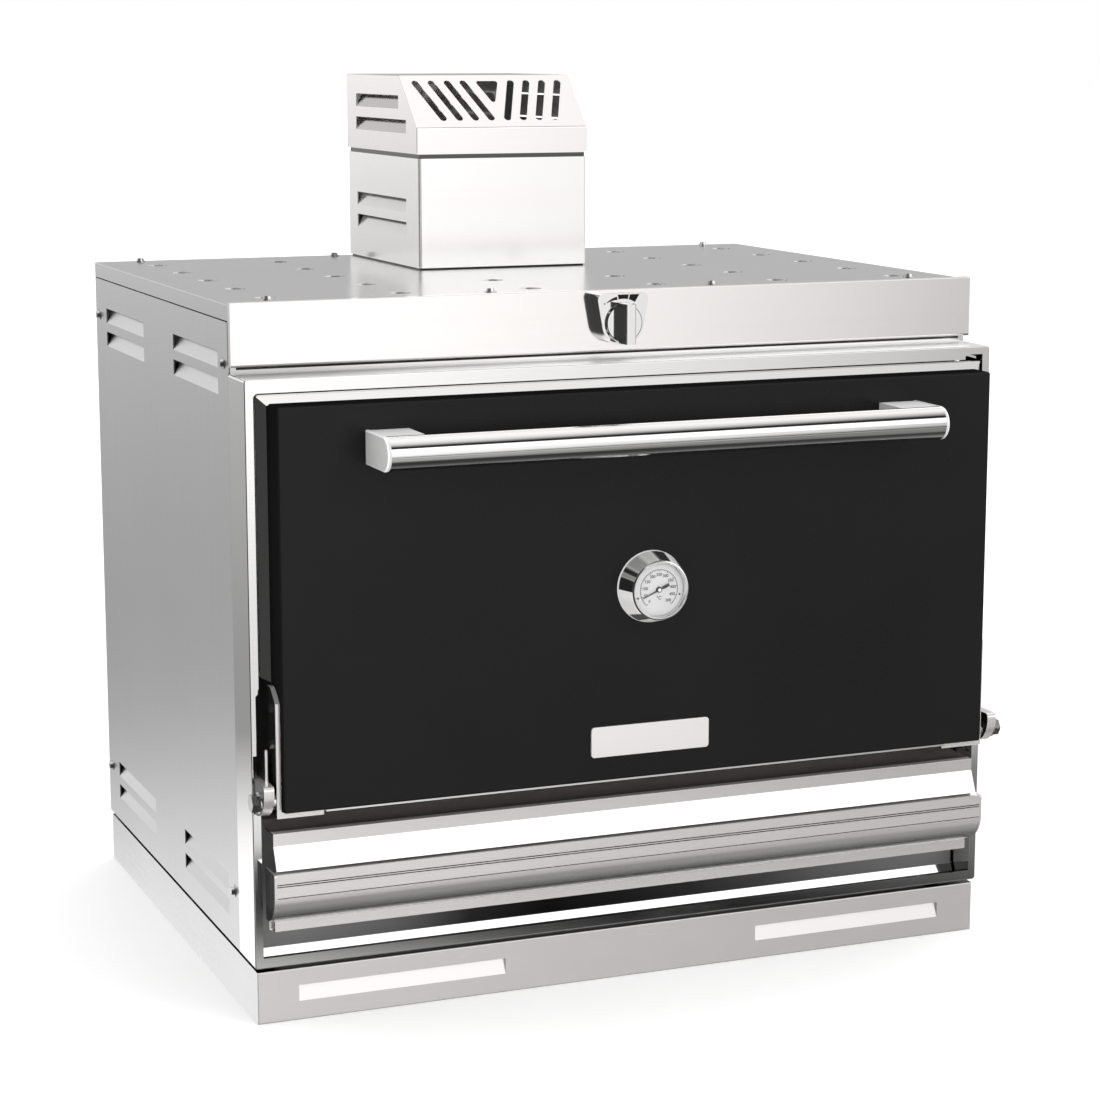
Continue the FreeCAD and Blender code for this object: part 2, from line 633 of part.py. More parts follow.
for s in (-1, 1):
    for k in (0, 1):
        wi, bl = side_louvre(s, ch, T, 493.5, 493.5 + D.louvre_len, 888.0 + k * 30.8, 18)
        wins.append(wi)
        blades.append(bl)
piece("chimney_box", fuse(cut(fuse(shell, skin, *rims), *wins), *blades))

baf = [box(-ch + T, ch - T, 500, 682, 950, 952)]
piece("spark_baffle", cut(fuse(*baf, box(-ch + T, -ch + T + 2, 500, 682, 940, 951), box(ch - T - 2, ch - T, 500, 682, 940, 951)),
                          *[cyl("Z", 9, 20, x, y, 940) for x in (-60, -20, 20, 60) for y in (530, 570, 610, 650)]))

hh, hf, hb, hl, ht = D.hood_half, D.hood_front, D.hood_back, D.hood_low, D.hood_top
hood = prism("YZ", [(hf, hl), (hb, hl), (hb, ht), (D.hood_crest, ht), (hf, D.hood_knee)], -hh, hh,
             [(3, [(hb, ht), (D.hood_crest, ht), (hf, D.hood_knee)])])
x_side = hh.v
round_face(hood, 1.0, lambda w: abs(abs(w.x) - x_side) < 1e-3 and w.z > 1000)
dz = 1.5
inside = prism("YZ", [(hf + T, hl - 5), (hb - T, hl - 5), (hb - T, ht - T), (D.hood_crest + 0.6, ht - T), (hf + T, D.hood_knee - 0.6)],
               -hh + T, hh - T)
lip = cut(box(-hh, hh, hf, hb, hl, hl + T), box(-ch + T + 2.1, ch - T - 2.1, cf + 5.6, cb - 3.6, hl - 5, hl + 5))
collar = cut(box(-ch + T + 0.6, ch - T - 0.6, cf + 4.1, cb - 2.1, 952, hl + 0.5), box(-ch + T + 2.1, ch - T - 2.1, cf + 5.6, cb - 3.6, 940, hl + 10))
alpha = math.atan2(ht.v - D.hood_knee.v, D.hood_crest.v - hf.v)
up = Vector(0, math.cos(alpha), math.sin(alpha))
out = Vector(0, -math.sin(alpha), math.cos(alpha))
knee = Vector(0, Y(hf).v, D.hood_knee.v)
vents = []
for s in (-1, 1):
    for top, low in ((101.7, 79.1), (79.0, 56.4), (56.3, 33.9), (33.9, 11.6)):
        a = knee + up * 82.4 + Vector(s * top, 0, 0)
        b = knee + up * 17.4 + Vector(s * low, 0, 0)
        d = (a - b)
        run = d.normalize()
        across = out.cross(run)
        o = doc.addObject("Part::Box", "Slot")
        bind(o, "Length", (a - b).Length)
        bind(o, "Width", 9.6)
        bind(o, "Height", 24)
        o.Placement = Placement(b - across * 4.8 - out * 12, Rotation(run, across, out, "ZXY"))
        vents.append(o)
        for e in (a, b):
            c = doc.addObject("Part::Cylinder", "SlotEnd")
            bind(c, "Radius", 4.8)
            bind(c, "Height", 24)
            c.Placement = Placement(e - out * 12, Rotation(run, across, out, "ZXY"))
            vents.append(c)
tri_tilt = Rotation(Vector(1, 0, 0), -(90 - math.degrees(alpha)))
tri_base = Vector(0, knee.z, -knee.y) + tri_tilt.multVec(Vector(0, 0, -12))
tri = prism("XZ", [(-16.5, 86), (16.5, 86), (0, 40)], 0, 24, None, tri_tilt, tri_base)
tri_names = ["Edge%d" % (i + 1) for i, e in enumerate(tri.Tip.Shape.Edges)
             if abs(abs((e.Vertexes[1].Point - e.Vertexes[0].Point).normalize().dot(out)) - 1) < 1e-4]
round_edges(tri, tri.Tip, tri_names, 3.5)
vents.append(tri)
wins, blades = [], []
for s in (-1, 1):
    for y0, y1, z0 in ((488.0, 700.5, 1023.0), (518.5, 699.5, 1054.6)):
        wi, bl = side_louvre(s, hh, T, y0, y1, z0, 17.6)
        wins.append(wi)
        blades.append(bl)
piece("hood", fuse(cut(fuse(cut(hood, inside), lip, collar), *(vents + wins)), *blades))

# ---- hinge --------------------------------------------------------------
py, pz, pr = D.pivot_y, D.pivot_z, D.pivot_r


def hexagon(flats, y, z):
    r = flats / math.sqrt(3)
    return [(q(y) + r * math.cos(math.radians(a)), q(z) + r * math.sin(math.radians(a))) for a in (0, 60, 120, 180, 240, 300)]


nose, ll, lh = D.lug_nose, D.lug_low, D.lug_high
for s, name in ((-1, "hinge_lug_left"), (1, "hinge_lug_right")):
    a, b = mirror_x(D.lug_in, D.lug_out, s)
    lug = prism("YZ", [(D.bulk_front, ll), (nose, ll), (nose, lh), (D.bulk_front, lh)], a, b,
                [(D.lug_round, [(nose, ll)]), (5, [(nose, lh)])])
    a, b = mirror_x(D.lug_in, D.lug_in + 3, s)
    horn = prism("YZ", [(-18, lh - 2), (-18, 338), (-14, 338), (22, lh - 2)], a, b)
    a, b = mirror_x(460, 490, s)
    piece(name, cut(fuse(lug, horn), cyl("X", pr, 30, a, py, pz)))

bolts = []
for s in (-1, 1):
    a, b = mirror_x(460.6, D.lug_out + 3, s)
    shank = cyl("X", pr, q(b) - a, a, py, pz)
    a, b = mirror_x(D.lug_out, D.lug_out + 2, s)
    washer = cyl("X", 12.5, 2, a, py, pz)
    a, b = mirror_x(D.lug_out + 2, D.lug_out + 11.6, s)
    head = prism("YZ", hexagon(19, py, pz), a, b)
    a, b = mirror_x(D.lug_in - 4.6, D.lug_in, s)
    spacer = cyl("X", 10, 4.6, a, py, pz)
    bolts.append(fuse(shank, washer, head, spacer))
piece("hinge_bolts", group(bolts))

# ---- cover screws -------------------------------------------------------
screws = []
for x in (-425, -147, 147, 425):
    for y in (105, 726):
        screws.append(fuse(cone(AXES["Z"], 5.6, 4.2, 4.6, x, y, D.cover_top), cyl("Z", 7.5, 1, x, y, D.cover_top)))
for s in (-1, 1):
    rot = Rotation(Vector(0, 1, 0), 90 * s)
    for y in (86, 720):
        for z in (141.3, 776):
            screws.append(fuse(cone(rot, 5.6, 4.2, 4.6, HW if s > 0 else -HW, y, z),
                               cyl("X", 7.5, 1, HW if s > 0 else -HW - 1, y, z)))
piece("cover_screws", group(screws))

# ---- door ---------------------------------------------------------------
dh, dl, dt, df, tb = D.door_half, D.door_low, D.door_high, D.door_front, D.tray_back
tray = prism("XZ", [(-dh, dl), (dh, dl), (dh, dt), (-dh, dt)], df, tb,
             [(3, [(-dh, dl), (dh, dl), (dh, dt), (-dh, dt)])])
y_door = df.v - D.origin_y.v
round_face(tray, 2.2, lambda w: abs(w.y - y_door) < 1e-3)
gz = D.gauge_z
piece("door_front_panel", cut(tray, box(-dh + P, dh - P, df + P, 0, dl + P, dt - P), cyl("Y", 9.5, 20, 0, df - 5, gz)))

pbk, pfr, st = D.plug_back, D.plug_front, D.plug_step
po, pt = oh - 1.5, D.open_high - 1.8
flange = prism("XZ", [(-dh, dl), (dh, dl), (dh, 415), (po, 421), (po, pt), (-po, pt), (-po, 421), (-dh, 415)], tb, pfr,
               [(3, [(-dh, dl), (dh, dl)]), (4.5, [(po, pt), (-po, pt)])])
bev = tb + 11
slopes = [prism("YZ", [(tb - 1, pt - 12), (bev + 1, pt + 1), (tb - 1, pt + 1)], -500, 500)]
hollows = [box(-po + P, po - P, bev + 2.5, pfr + 1, dt - 0.5, pt - P)]
for s in (-1, 1):
    slopes.append(prism("XY", [(s * (po - 12), tb - 1), (s * (po + 1), tb - 1), (s * (po + 1), bev + 1)], 405, pt + 5))
    a, b = mirror_x(dh - 0.5, po - P, s)
    hollows.append(box(a, b, bev + 2.5, pfr + 1, 423, pt - P))
pan = fuse(cut(flange, *(slopes + hollows)), box(-408.5, 408.5, df + 1.2, tb + 5, dl - 2.2, dl),
           prism("XZ", [(-dh + st, dl + st), (dh - st, dl + st), (dh - st, dt - st), (-dh + st, dt - st)], pfr, pbk,
                 [(8, [(-dh + st, dl + st), (dh - st, dl + st), (dh - st, dt - st), (-dh + st, dt - st)])]))
piece("door_inner_pan", cut(pan, box(-dh + 5.4, dh - 5.4, tb - 5, pbk - P, dl + 5.4, dt - 5.4), cyl("Y", 5, 60, 0, 20, gz)))
piece("door_insulation", cut(box(-dh + 6, dh - 6, df + P + 0.2, pbk - P - 0.2, dl + 6, dt - 6), cyl("Y", 10, 200, 0, -90, gz)))
piece("door_gasket", cut(prism("XZ", [(-400, 285), (400, 285), (400, 715), (-400, 715)], pbk, 49.7,
                               [(14, [(-400, 285), (400, 285), (400, 715), (-400, 715)])]),
                         prism("XZ", [(-386, 299), (386, 299), (386, 701), (-386, 701)], 40, 60,
                               [(8, [(-386, 299), (386, 299), (386, 701), (-386, 701)])])))

kf, kb, kl = D.brk_front, D.brk_back, D.brk_low
for s, name in ((-1, "hinge_bracket_left"), (1, "hinge_bracket_right")):
    a, b = mirror_x(D.brk_in, D.brk_out, s)
    side = prism("YZ", [(kf, kl), (kf, 396), (-17, 412), (kb, 412), (kb, kl)], a, b)
    a, b = mirror_x(D.brk_leg, D.brk_out, s)
    leg = box(a, b, kf, kb, kl, dl - 0.2)
    a, b = mirror_x(450, 480, s)
    piece(name, cut(fuse(side, leg), cyl("X", pr + D.run_fit, 30, a, py, pz)))
heads = []
for s in (-1, 1):
    a, b = mirror_x(D.brk_out, D.brk_out + 2.4, s)
    for z in (345, 388):
        heads.append(prism("YZ", hexagon(10, -16, z), a, b))
piece("bracket_bolts", group(heads))

ay, az, ar, ahalf = D.bar_y, D.bar_z, D.bar_r, D.bar_half
piece("handle_bar", cut(cyl("X", ar, ahalf * 2, -ahalf, ay, az), cyl("X", ar - P, ahalf * 2 + 20, -ahalf - 10, ay, az)))
for s, name in ((-1, "handle_block_left"), (1, "handle_block_right")):
    a, b = mirror_x(D.blk_in, ahalf, s)
    stem = cut(box(a, b, ay, df, az - 19.4, az + 19.4), cyl("X", ar + 0.05, 80, q(a) - 10, ay, az))
    a, b = mirror_x(ahalf, ahalf + 4.5, s)
    cap = prism("YZ", [(ay, az - ar), (df, az - ar), (df, az + ar), (ay, az + ar, (ay.v - ar.v, az.v))], a, b)
    face = -(ahalf.v + 4.5) if s < 0 else ahalf.v + 4.5
    round_face(cap, 2.0, lambda w, face=face: abs(w.x - face) < 1e-3)
    piece(name, fuse(stem, cap))

gb, gr, gd = D.gauge_base, D.gauge_ring, D.gauge_deep
rim = df - gd
piece("gauge_bezel", turned([(gb - 3.2, df), (gb, df), (gb - 0.6, df - 2.6), (gr, rim + 3.2), (gr - 1.2, rim + 0.6),
                             (gr - 2.4, rim), (gr - 3.6, rim), (gr - 5.0, rim + 2.2), (gr - 5.0, rim + 7.4), (9.2, rim + 7.4),
                             (9.2, rim + 9.9), (gr - 3.4, rim + 9.9)], gz))
piece("gauge_dial", turned([(4, rim + 6.0), (gr - 5.2, rim + 6.0), (gr - 5.2, rim + 7.4), (4, rim + 7.4)], gz))
piece("gauge_glass", turned([(0, rim + 2.3), (gr - 5.2, rim + 2.3), (gr - 5.2, rim + 3.3), (0, rim + 3.3)], gz))
piece("gauge_stem", turned([(0, rim + 7.4), (9, rim + 7.4), (9, df + 6), (4, df + 8), (4, 62), (2, 66), (0, 66)], gz))
hand = math.radians(24.0)


def ray(r, off):
    """Point of the needle's outline: r along the pointer, off across it."""
    return (-r * math.cos(hand) - off * math.sin(hand), gz + (-r * math.sin(hand) + off * math.cos(hand)))


needle = prism("XZ", [ray(22.6, -0.4), ray(22.6, 0.4), ray(2, 0.9), ray(-5, 1.0), ray(-6, 1.8), ray(-14, 1.8), ray(-14, -1.8),
                      ray(-6, -1.8), ray(-5, -1.0), ray(2, -0.9)], rim + 4.3, rim + 4.9)
piece("gauge_needle", fuse(needle, cyl("Y", 3, 2.1, 0, rim + 3.6, gz)))

badge = prism("XZ", [(-D.badge_half, D.badge_low), (D.badge_half, D.badge_low), (D.badge_half, D.badge_high), (-D.badge_half, D.badge_high)],
              df - 2.2, df, [(4.5, [(-D.badge_half, D.badge_low), (D.badge_half, D.badge_low),
                                  (D.badge_half, D.badge_high), (-D.badge_half, D.badge_high)])])
y_badge = df.v - 2.2 - D.origin_y.v
round_face(badge, 0.6, lambda w: abs(w.y - y_badge) < 1e-3)
piece("badge_plate", badge)

# ---- ash drawer ---------------------------------------------------------
sf, sh, tl, th = D.draw_front, D.draw_half, D.tray_low, D.tray_high
cy0, cz0, R = 3.957, 168.135, 40.27


def on_arc(radius, f):
    a0 = math.atan2(163.1 - cz0, -36.0 - cy0)
    a1 = math.atan2(129.5 - cz0, -7.4 - cy0)
    a = a0 + (a1 - a0) * f
    return cy0 + radius * math.cos(a), cz0 + radius * math.sin(a)


face = [(-22, D.draw_top), (sf, D.draw_top), (sf, 181.0), (-34.3, 180.9), (-34.3, 179.9), (sf, 179.8), (sf, 178.5), (-34.3, 178.4),
        (-34.3, 177.4), (sf, 177.3), (sf, 164.6), (-35.0, 163.9),
        (sf, 163.1, on_arc(R, 0.5)), (-7.4, 129.5), (-9.2, 128.2), (-9.2, 115.9), (2, 115.9), (2, 117.9), (-7.2, 117.9), (-7.2, 127.1), (-5.4, 128.5),
        (*on_arc(R - 2, 1.0), on_arc(R - 2, 0.5)), on_arc(R - 2, 0.0), (-34, 174.6), (-31.2, 176.8), (-31.2, 178.2), (-34, 181.6), (-34, D.draw_top - P), (-22, D.draw_top - P)]
front = prism("YZ", face, -sh + 3, sh - 3)
backp = box(-sh + 3, sh - 3, 0, P, 115.9, 188)
webs = []
for s in (-1, 1):
    a, b = mirror_x(sh - 3, sh, s)
    webs.append(prism("YZ", [(P, D.draw_top), (sf, D.draw_top), (sf, 163.1, on_arc(R, 0.5)), (-7.4, 129.5), (P, 129.5)], a, b,
                      [(2, [(sf, D.draw_top)])]))
trims = [box(*mirror_x(sh - 7.4, sh + 1, s), -14, -0.5, 112, 129.1) for s in (-1, 1)]
piece("ash_drawer_front", cut(fuse(front, backp, *webs), *trims))
tq = D.tray_half
piece("ash_drawer_tray", cut(box(-tq, tq, P, D.tray_end, tl, th), box(-tq + P, tq - P, 2 * P, D.tray_end - P, tl + P, th + 30)))
for s, name in ((-1, "drawer_runner_left"), (1, "drawer_runner_right")):
    pts = [(372, 114.5), (402, 114.5), (402, 160), (400, 160), (400, 116.5), (372, 116.5)]
    if s < 0:
        pts = [(-u, v) for u, v in pts]
    piece(name, prism("XZ", pts, D.low_front + P, 640))

doc.recompute()
bad = [o.Name for o in doc.Objects if "Invalid" in o.State or "Error" in o.State]
if bad:
    raise RuntimeError("failed objects: " + ", ".join(bad))
for name, obj in PIECES:
    shp = obj.Shape
    if shp.isNull() or not shp.isValid() or not shp.Solids:
        raise RuntimeError("bad shape: " + name)
os.makedirs("parts", exist_ok=True)
for old in os.listdir("parts"):
    if old.endswith(".step"):
        os.remove(os.path.join("parts", old))
for name, obj in PIECES:
    shp = obj.Shape
    print("%-22s solids %2d  volume %10.0f mm3" % (name, len(shp.Solids), shp.Volume))
    shp.exportStep("parts/%s.step" % name)
print(len(PIECES), "pieces")
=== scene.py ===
import json
import math

import bmesh
import bpy
from mathutils import Matrix, Vector

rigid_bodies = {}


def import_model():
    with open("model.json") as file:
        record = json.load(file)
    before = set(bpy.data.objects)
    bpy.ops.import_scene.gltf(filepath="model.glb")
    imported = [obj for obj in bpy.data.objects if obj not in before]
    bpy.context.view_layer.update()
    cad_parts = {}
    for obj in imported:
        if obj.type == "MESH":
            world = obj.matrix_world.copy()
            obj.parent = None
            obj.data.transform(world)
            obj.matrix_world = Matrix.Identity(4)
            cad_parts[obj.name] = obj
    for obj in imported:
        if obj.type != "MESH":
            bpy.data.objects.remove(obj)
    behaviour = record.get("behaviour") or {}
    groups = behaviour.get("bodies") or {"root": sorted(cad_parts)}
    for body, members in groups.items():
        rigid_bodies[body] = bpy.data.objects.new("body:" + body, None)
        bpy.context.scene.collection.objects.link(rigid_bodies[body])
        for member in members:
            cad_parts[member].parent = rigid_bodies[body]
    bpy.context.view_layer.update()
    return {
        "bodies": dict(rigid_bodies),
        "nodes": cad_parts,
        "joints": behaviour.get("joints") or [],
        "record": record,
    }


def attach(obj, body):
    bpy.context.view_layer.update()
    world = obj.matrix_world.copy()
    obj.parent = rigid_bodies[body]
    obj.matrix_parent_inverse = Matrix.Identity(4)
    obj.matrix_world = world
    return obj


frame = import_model()
NODES = frame["nodes"]
scene = bpy.context.scene
scene.view_settings.view_transform = "Standard"
scene.view_settings.look = "None"

# ---------------------------------------------------------------- camera
AZ, EL = math.radians(-21.944), math.radians(10.357)
back = Vector((math.sin(AZ) * math.cos(EL), -math.cos(AZ) * math.cos(EL), math.sin(EL)))
cam_data = bpy.data.cameras.new("camera")
cam_data.sensor_width = 36.0
cam_data.lens = 90.517
cam_data.clip_end = 200.0
cam = bpy.data.objects.new("camera", cam_data)
scene.collection.objects.link(cam)
cam.location = (-1.3250, -3.3194, 1.1387)
cam.rotation_euler = (-back).to_track_quat("-Z", "Y").to_euler()
scene.camera = cam


# ---------------------------------------------------------------- node helpers
class Net:
    """A node tree with short ways to add and join nodes."""

    def __init__(self, tree):
        self.t = tree
        tree.nodes.clear()

    def add(self, kind, **props):
        n = self.t.nodes.new(kind)
        for k, v in props.items():
            setattr(n, k, v)
        return n

    def put(self, node, socket, value):
        s = node.inputs[socket]
        if isinstance(value, bpy.types.NodeSocket):
            self.t.links.new(value, s)
        else:
            s.default_value = value
        return node

    def math(self, op, a, b=0.0, c=0.0, clamp=False):
        n = self.add("ShaderNodeMath", operation=op, use_clamp=clamp)
        for i, v in enumerate((a, b, c)):
            self.put(n, i, v)
        return n.outputs[0]

    def smooth(self, v, lo, hi, out_lo=0.0, out_hi=1.0):
        n = self.add("ShaderNodeMapRange", interpolation_type="SMOOTHSTEP", clamp=True)
        for i, x in enumerate((v, lo, hi, out_lo, out_hi)):
            self.put(n, i, x)
        return n.outputs[0]

    def span(self, v, lo, hi, out_lo=0.0, out_hi=1.0):
        n = self.add("ShaderNodeMapRange", clamp=True)
        for i, x in enumerate((v, lo, hi, out_lo, out_hi)):
            self.put(n, i, x)
        return n.outputs[0]

    def mix(self, fac, a, b, blend="MIX"):
        n = self.add("ShaderNodeMix", data_type="RGBA", blend_type=blend)
        self.put(n, 0, fac)
        self.put(n, 6, a)
        self.put(n, 7, b)
        return n.outputs[2]

    def lerp(self, fac, a, b):
        n = self.add("ShaderNodeMix", data_type="FLOAT")
        self.put(n, 0, fac)
        self.put(n, 2, a)
        self.put(n, 3, b)
        return n.outputs[0]

    def coords(self, scale=(1, 1, 1), rot=(0, 0, 0)):
        tc = self.add("ShaderNodeTexCoord")
        mp = self.add("ShaderNodeMapping")
        self.put(mp, "Vector", tc.outputs["Object"])
        mp.inputs["Scale"].default_value = scale
        mp.inputs["Rotation"].default_value = rot
        return mp.outputs[0]

    def facing(self):
        """The piece's own surface direction, as three values."""
        tc = self.add("ShaderNodeTexCoord")
        sep = self.add("ShaderNodeSeparateXYZ")
        self.put(sep, 0, tc.outputs["Normal"])
        return sep.outputs

    def place(self):
        """Position in the piece's own frame, as three values."""
        sep = self.add("ShaderNodeSeparateXYZ")
        self.put(sep, 0, self.coords())
        return sep.outputs

    def inside(self, v, lo, hi, soft):
        up = self.smooth(v, lo - soft, lo + soft)
        return self.math("MULTIPLY", up, self.smooth(v, hi - soft, hi + soft, 1.0, 0.0))

    def noise(self, vec, scale=1.0, detail=2.0, rough=0.5):
        n = self.add("ShaderNodeTexNoise")
        self.put(n, "Vector", vec)
        n.inputs["Scale"].default_value = scale
        n.inputs["Detail"].default_value = detail
        n.inputs["Roughness"].default_value = rough
        return n.outputs[0]

    def ramp(self, v, lo, hi, stops):
        """Piecewise-linear value of v, given as (position, value) pairs."""
        n = self.add("ShaderNodeValToRGB")
        n.color_ramp.interpolation = "LINEAR"
        e = n.color_ramp.elements
        while len(e) < len(stops):
            e.new(0.5)
        for i, (x, y) in enumerate(stops):
            e[i].position = (x - lo) / (hi - lo)
            e[i].color = (y, y, y, 1.0)
        self.put(n, 0, self.span(v, lo, hi))
        return n.outputs[0]

    def bump(self, height, strength, distance, normal=None):
        n = self.add("ShaderNodeBump")
        n.inputs["Strength"].default_value = strength
        n.inputs["Distance"].default_value = distance
        self.put(n, "Height", height)
        if normal is not None:
            self.put(n, "Normal", normal)
        return n.outputs[0]


def material(name):
    m = bpy.data.materials.new(name)
    m.use_nodes = True
    net = Net(m.node_tree)
    out = net.add("ShaderNodeOutputMaterial")
    sh = net.add("ShaderNodeBsdfPrincipled")
    net.t.links.new(sh.outputs[0], out.inputs[0])
    return m, net, sh


def grey(v):
    return (v, v, v, 1.0)


def warm(v, k=0.03):
    return (v * (1 + 0.5 * k), v, v * (1 - 0.5 * k), 1.0)


def straw(v, k):
    """Steel grey of value v with k parts of the faint warm cast of annealed sheet."""
    return (min(1.0, v * (1 + 0.040 * k)), v, v * (1 - 0.010 * k), 1.0)


# ---------------------------------------------------------------- finishes
GX, GZ, GY = 0.0, 0.5015, -0.3772      # thermometer axis and the plane of its dial


def brushed(name, base=0.72, rough=0.30, along="X", grain=1.0, metal=1.0, soot_and_painted_shade=(), lit_bore_z=None, shaded_end_grey=None, shaded_lid_z=None, cove=None, tint=1.0, hollow=None):
    """Sheet steel with a fine directional grain, faint rolling bands and handling marks, with optional painted shade
    bands, painted shade on end faces and tops, painted light on bore walls, painted shade and a painted highlight on
    the cove, and matt inward faces.
    """
    m, net, sh = material(name)
    fine, band = 900.0, 70.0
    s = {"X": (14.0, fine, fine), "Y": (fine, 14.0, fine), "Z": (fine, fine, 14.0)}[along]
    b = {"X": (1.2, band, band), "Y": (band, 1.2, band), "Z": (band, band, 1.2)}[along]
    hair = net.noise(net.coords(s), 1.0, 3.0, 0.6)
    bands = net.noise(net.coords(b), 1.0, 2.0, 0.5)
    hand = net.noise(net.coords((5.0, 5.0, 5.0)), 1.0, 4.0, 0.55)
    shine = metal
    tone = net.math("ADD", net.span(hair, 0.25, 0.75, -0.035 * grain, 0.035 * grain), net.span(bands, 0.3, 0.7, -0.012, 0.012))
    col = net.mix(net.math("MULTIPLY_ADD", tone, 7.6, 0.5), straw(base * 0.95, tint), straw(min(1.0, base * 1.05), tint))
    # Each band listed here is painted shade: a flat dark grey over a height range behind a given depth, laid where
    # shadow falls at the chimney's foot, in the gap below the hood's lower edge and along the groove and crease lines
    # of the drawer front.
    for y0, z0, z1, v in soot_and_painted_shade:
        px, py, pz = net.place()
        painted_shade = net.math("MULTIPLY", net.smooth(py, y0, y0 + 0.0003), net.inside(pz, z0, z1, 0.0002))
        painted_shade = net.math("MULTIPLY", painted_shade, net.smooth(net.math("ABSOLUTE", px), 0.4664, 0.4668, 1.0, 0.0))
        col = net.mix(painted_shade, col, grey(v))
    if shaded_end_grey is not None:
        # Painted shade: faces that look along ±X take one flat grey, darkening the side faces of the drawer front and
        # the hinge parts.
        nx, ny, nz = net.facing()
        col = net.mix(net.smooth(net.math("ABSOLUTE", nx), 0.75, 0.95), col, grey(shaded_end_grey))
    if shaded_lid_z is not None:
        # Painted shade: flat tops at the given height turn near black, in the thin gap between the plinth's top and the
        # frame's bottom rail.
        px, py, pz = net.place()
        nx, ny, nz = net.facing()
        lid_shade = net.math("MULTIPLY", net.smooth(nz, 0.85, 0.97), net.smooth(pz, shaded_lid_z - 0.0006, shaded_lid_z - 0.0002))
        col = net.mix(lid_shade, col, grey(0.012))
    if cove is not None:
        px, py, pz = net.place()
        deep, crest, bead, foot = cove
        # Painted shade: the rounded lower face of the drawer front darkens downwards.
        shade = net.math("MULTIPLY", net.inside(pz, crest, 0.1632, 0.0002), net.smooth(pz, deep, deep + 0.0125, 1.0, 0.0))
        col = net.mix(net.math("MULTIPLY", shade, 0.70), col, grey(0.02))
        # Painted highlight: a matt white line along the lip's edge.
        edge = net.inside(pz, foot, bead, 0.0002)
        col = net.mix(edge, col, grey(0.98))
        shine = net.lerp(edge, metal, 0.0)
    if lit_bore_z is not None:
        # Painted light: upright walls above the given height that face +X turn matt white, standing in for the lit
        # inner walls of the vent collars.
        px, py, pz = net.place()
        nx, ny, nz = net.facing()
        wall = net.math("MULTIPLY", net.smooth(net.math("ABSOLUTE", nz), 0.2, 0.4, 1.0, 0.0), net.smooth(net.math("ABSOLUTE", px), 0.470, 0.474, 1.0, 0.0))
        wall = net.math("MULTIPLY", wall, net.smooth(pz, lit_bore_z, lit_bore_z + 0.0004))
        wall = net.math("MULTIPLY", wall, net.smooth(nx, -0.15, 0.25))
        col = net.mix(wall, col, grey(0.97))
        shine = net.lerp(wall, metal, 0.0)
    if hollow is not None:
        px, py, pz = net.place()
        nx, ny, nz = net.facing()
        cy, cz = hollow
        out = net.math("MULTIPLY", px, nx)
        out = net.math("MULTIPLY_ADD", net.math("SUBTRACT", py, cy), ny, out)
        out = net.math("MULTIPLY_ADD", net.math("SUBTRACT", pz, cz), nz, out)
        # Faces that look in towards the hood's middle turn a matt light grey with little metal.
        inward_matt = net.smooth(out, -0.030, -0.020, 1.0, 0.0)
        col = net.mix(inward_matt, col, net.mix(hand, grey(0.62), grey(0.72)))
        shine = net.lerp(inward_matt, shine, 0.2)
    net.put(sh, "Base Color", col)
    net.put(sh, "Metallic", shine)
    wide = 0.045 * min(1.0, grain)
    r = net.math("ADD", net.span(hair, 0.2, 0.8, rough - wide, rough + wide), net.span(hand, 0.35, 0.7, -0.008, 0.012))
    net.put(sh, "Roughness", r)
    net.put(sh, "Normal", net.bump(hair, 0.05 * grain, 0.00012))
    return m


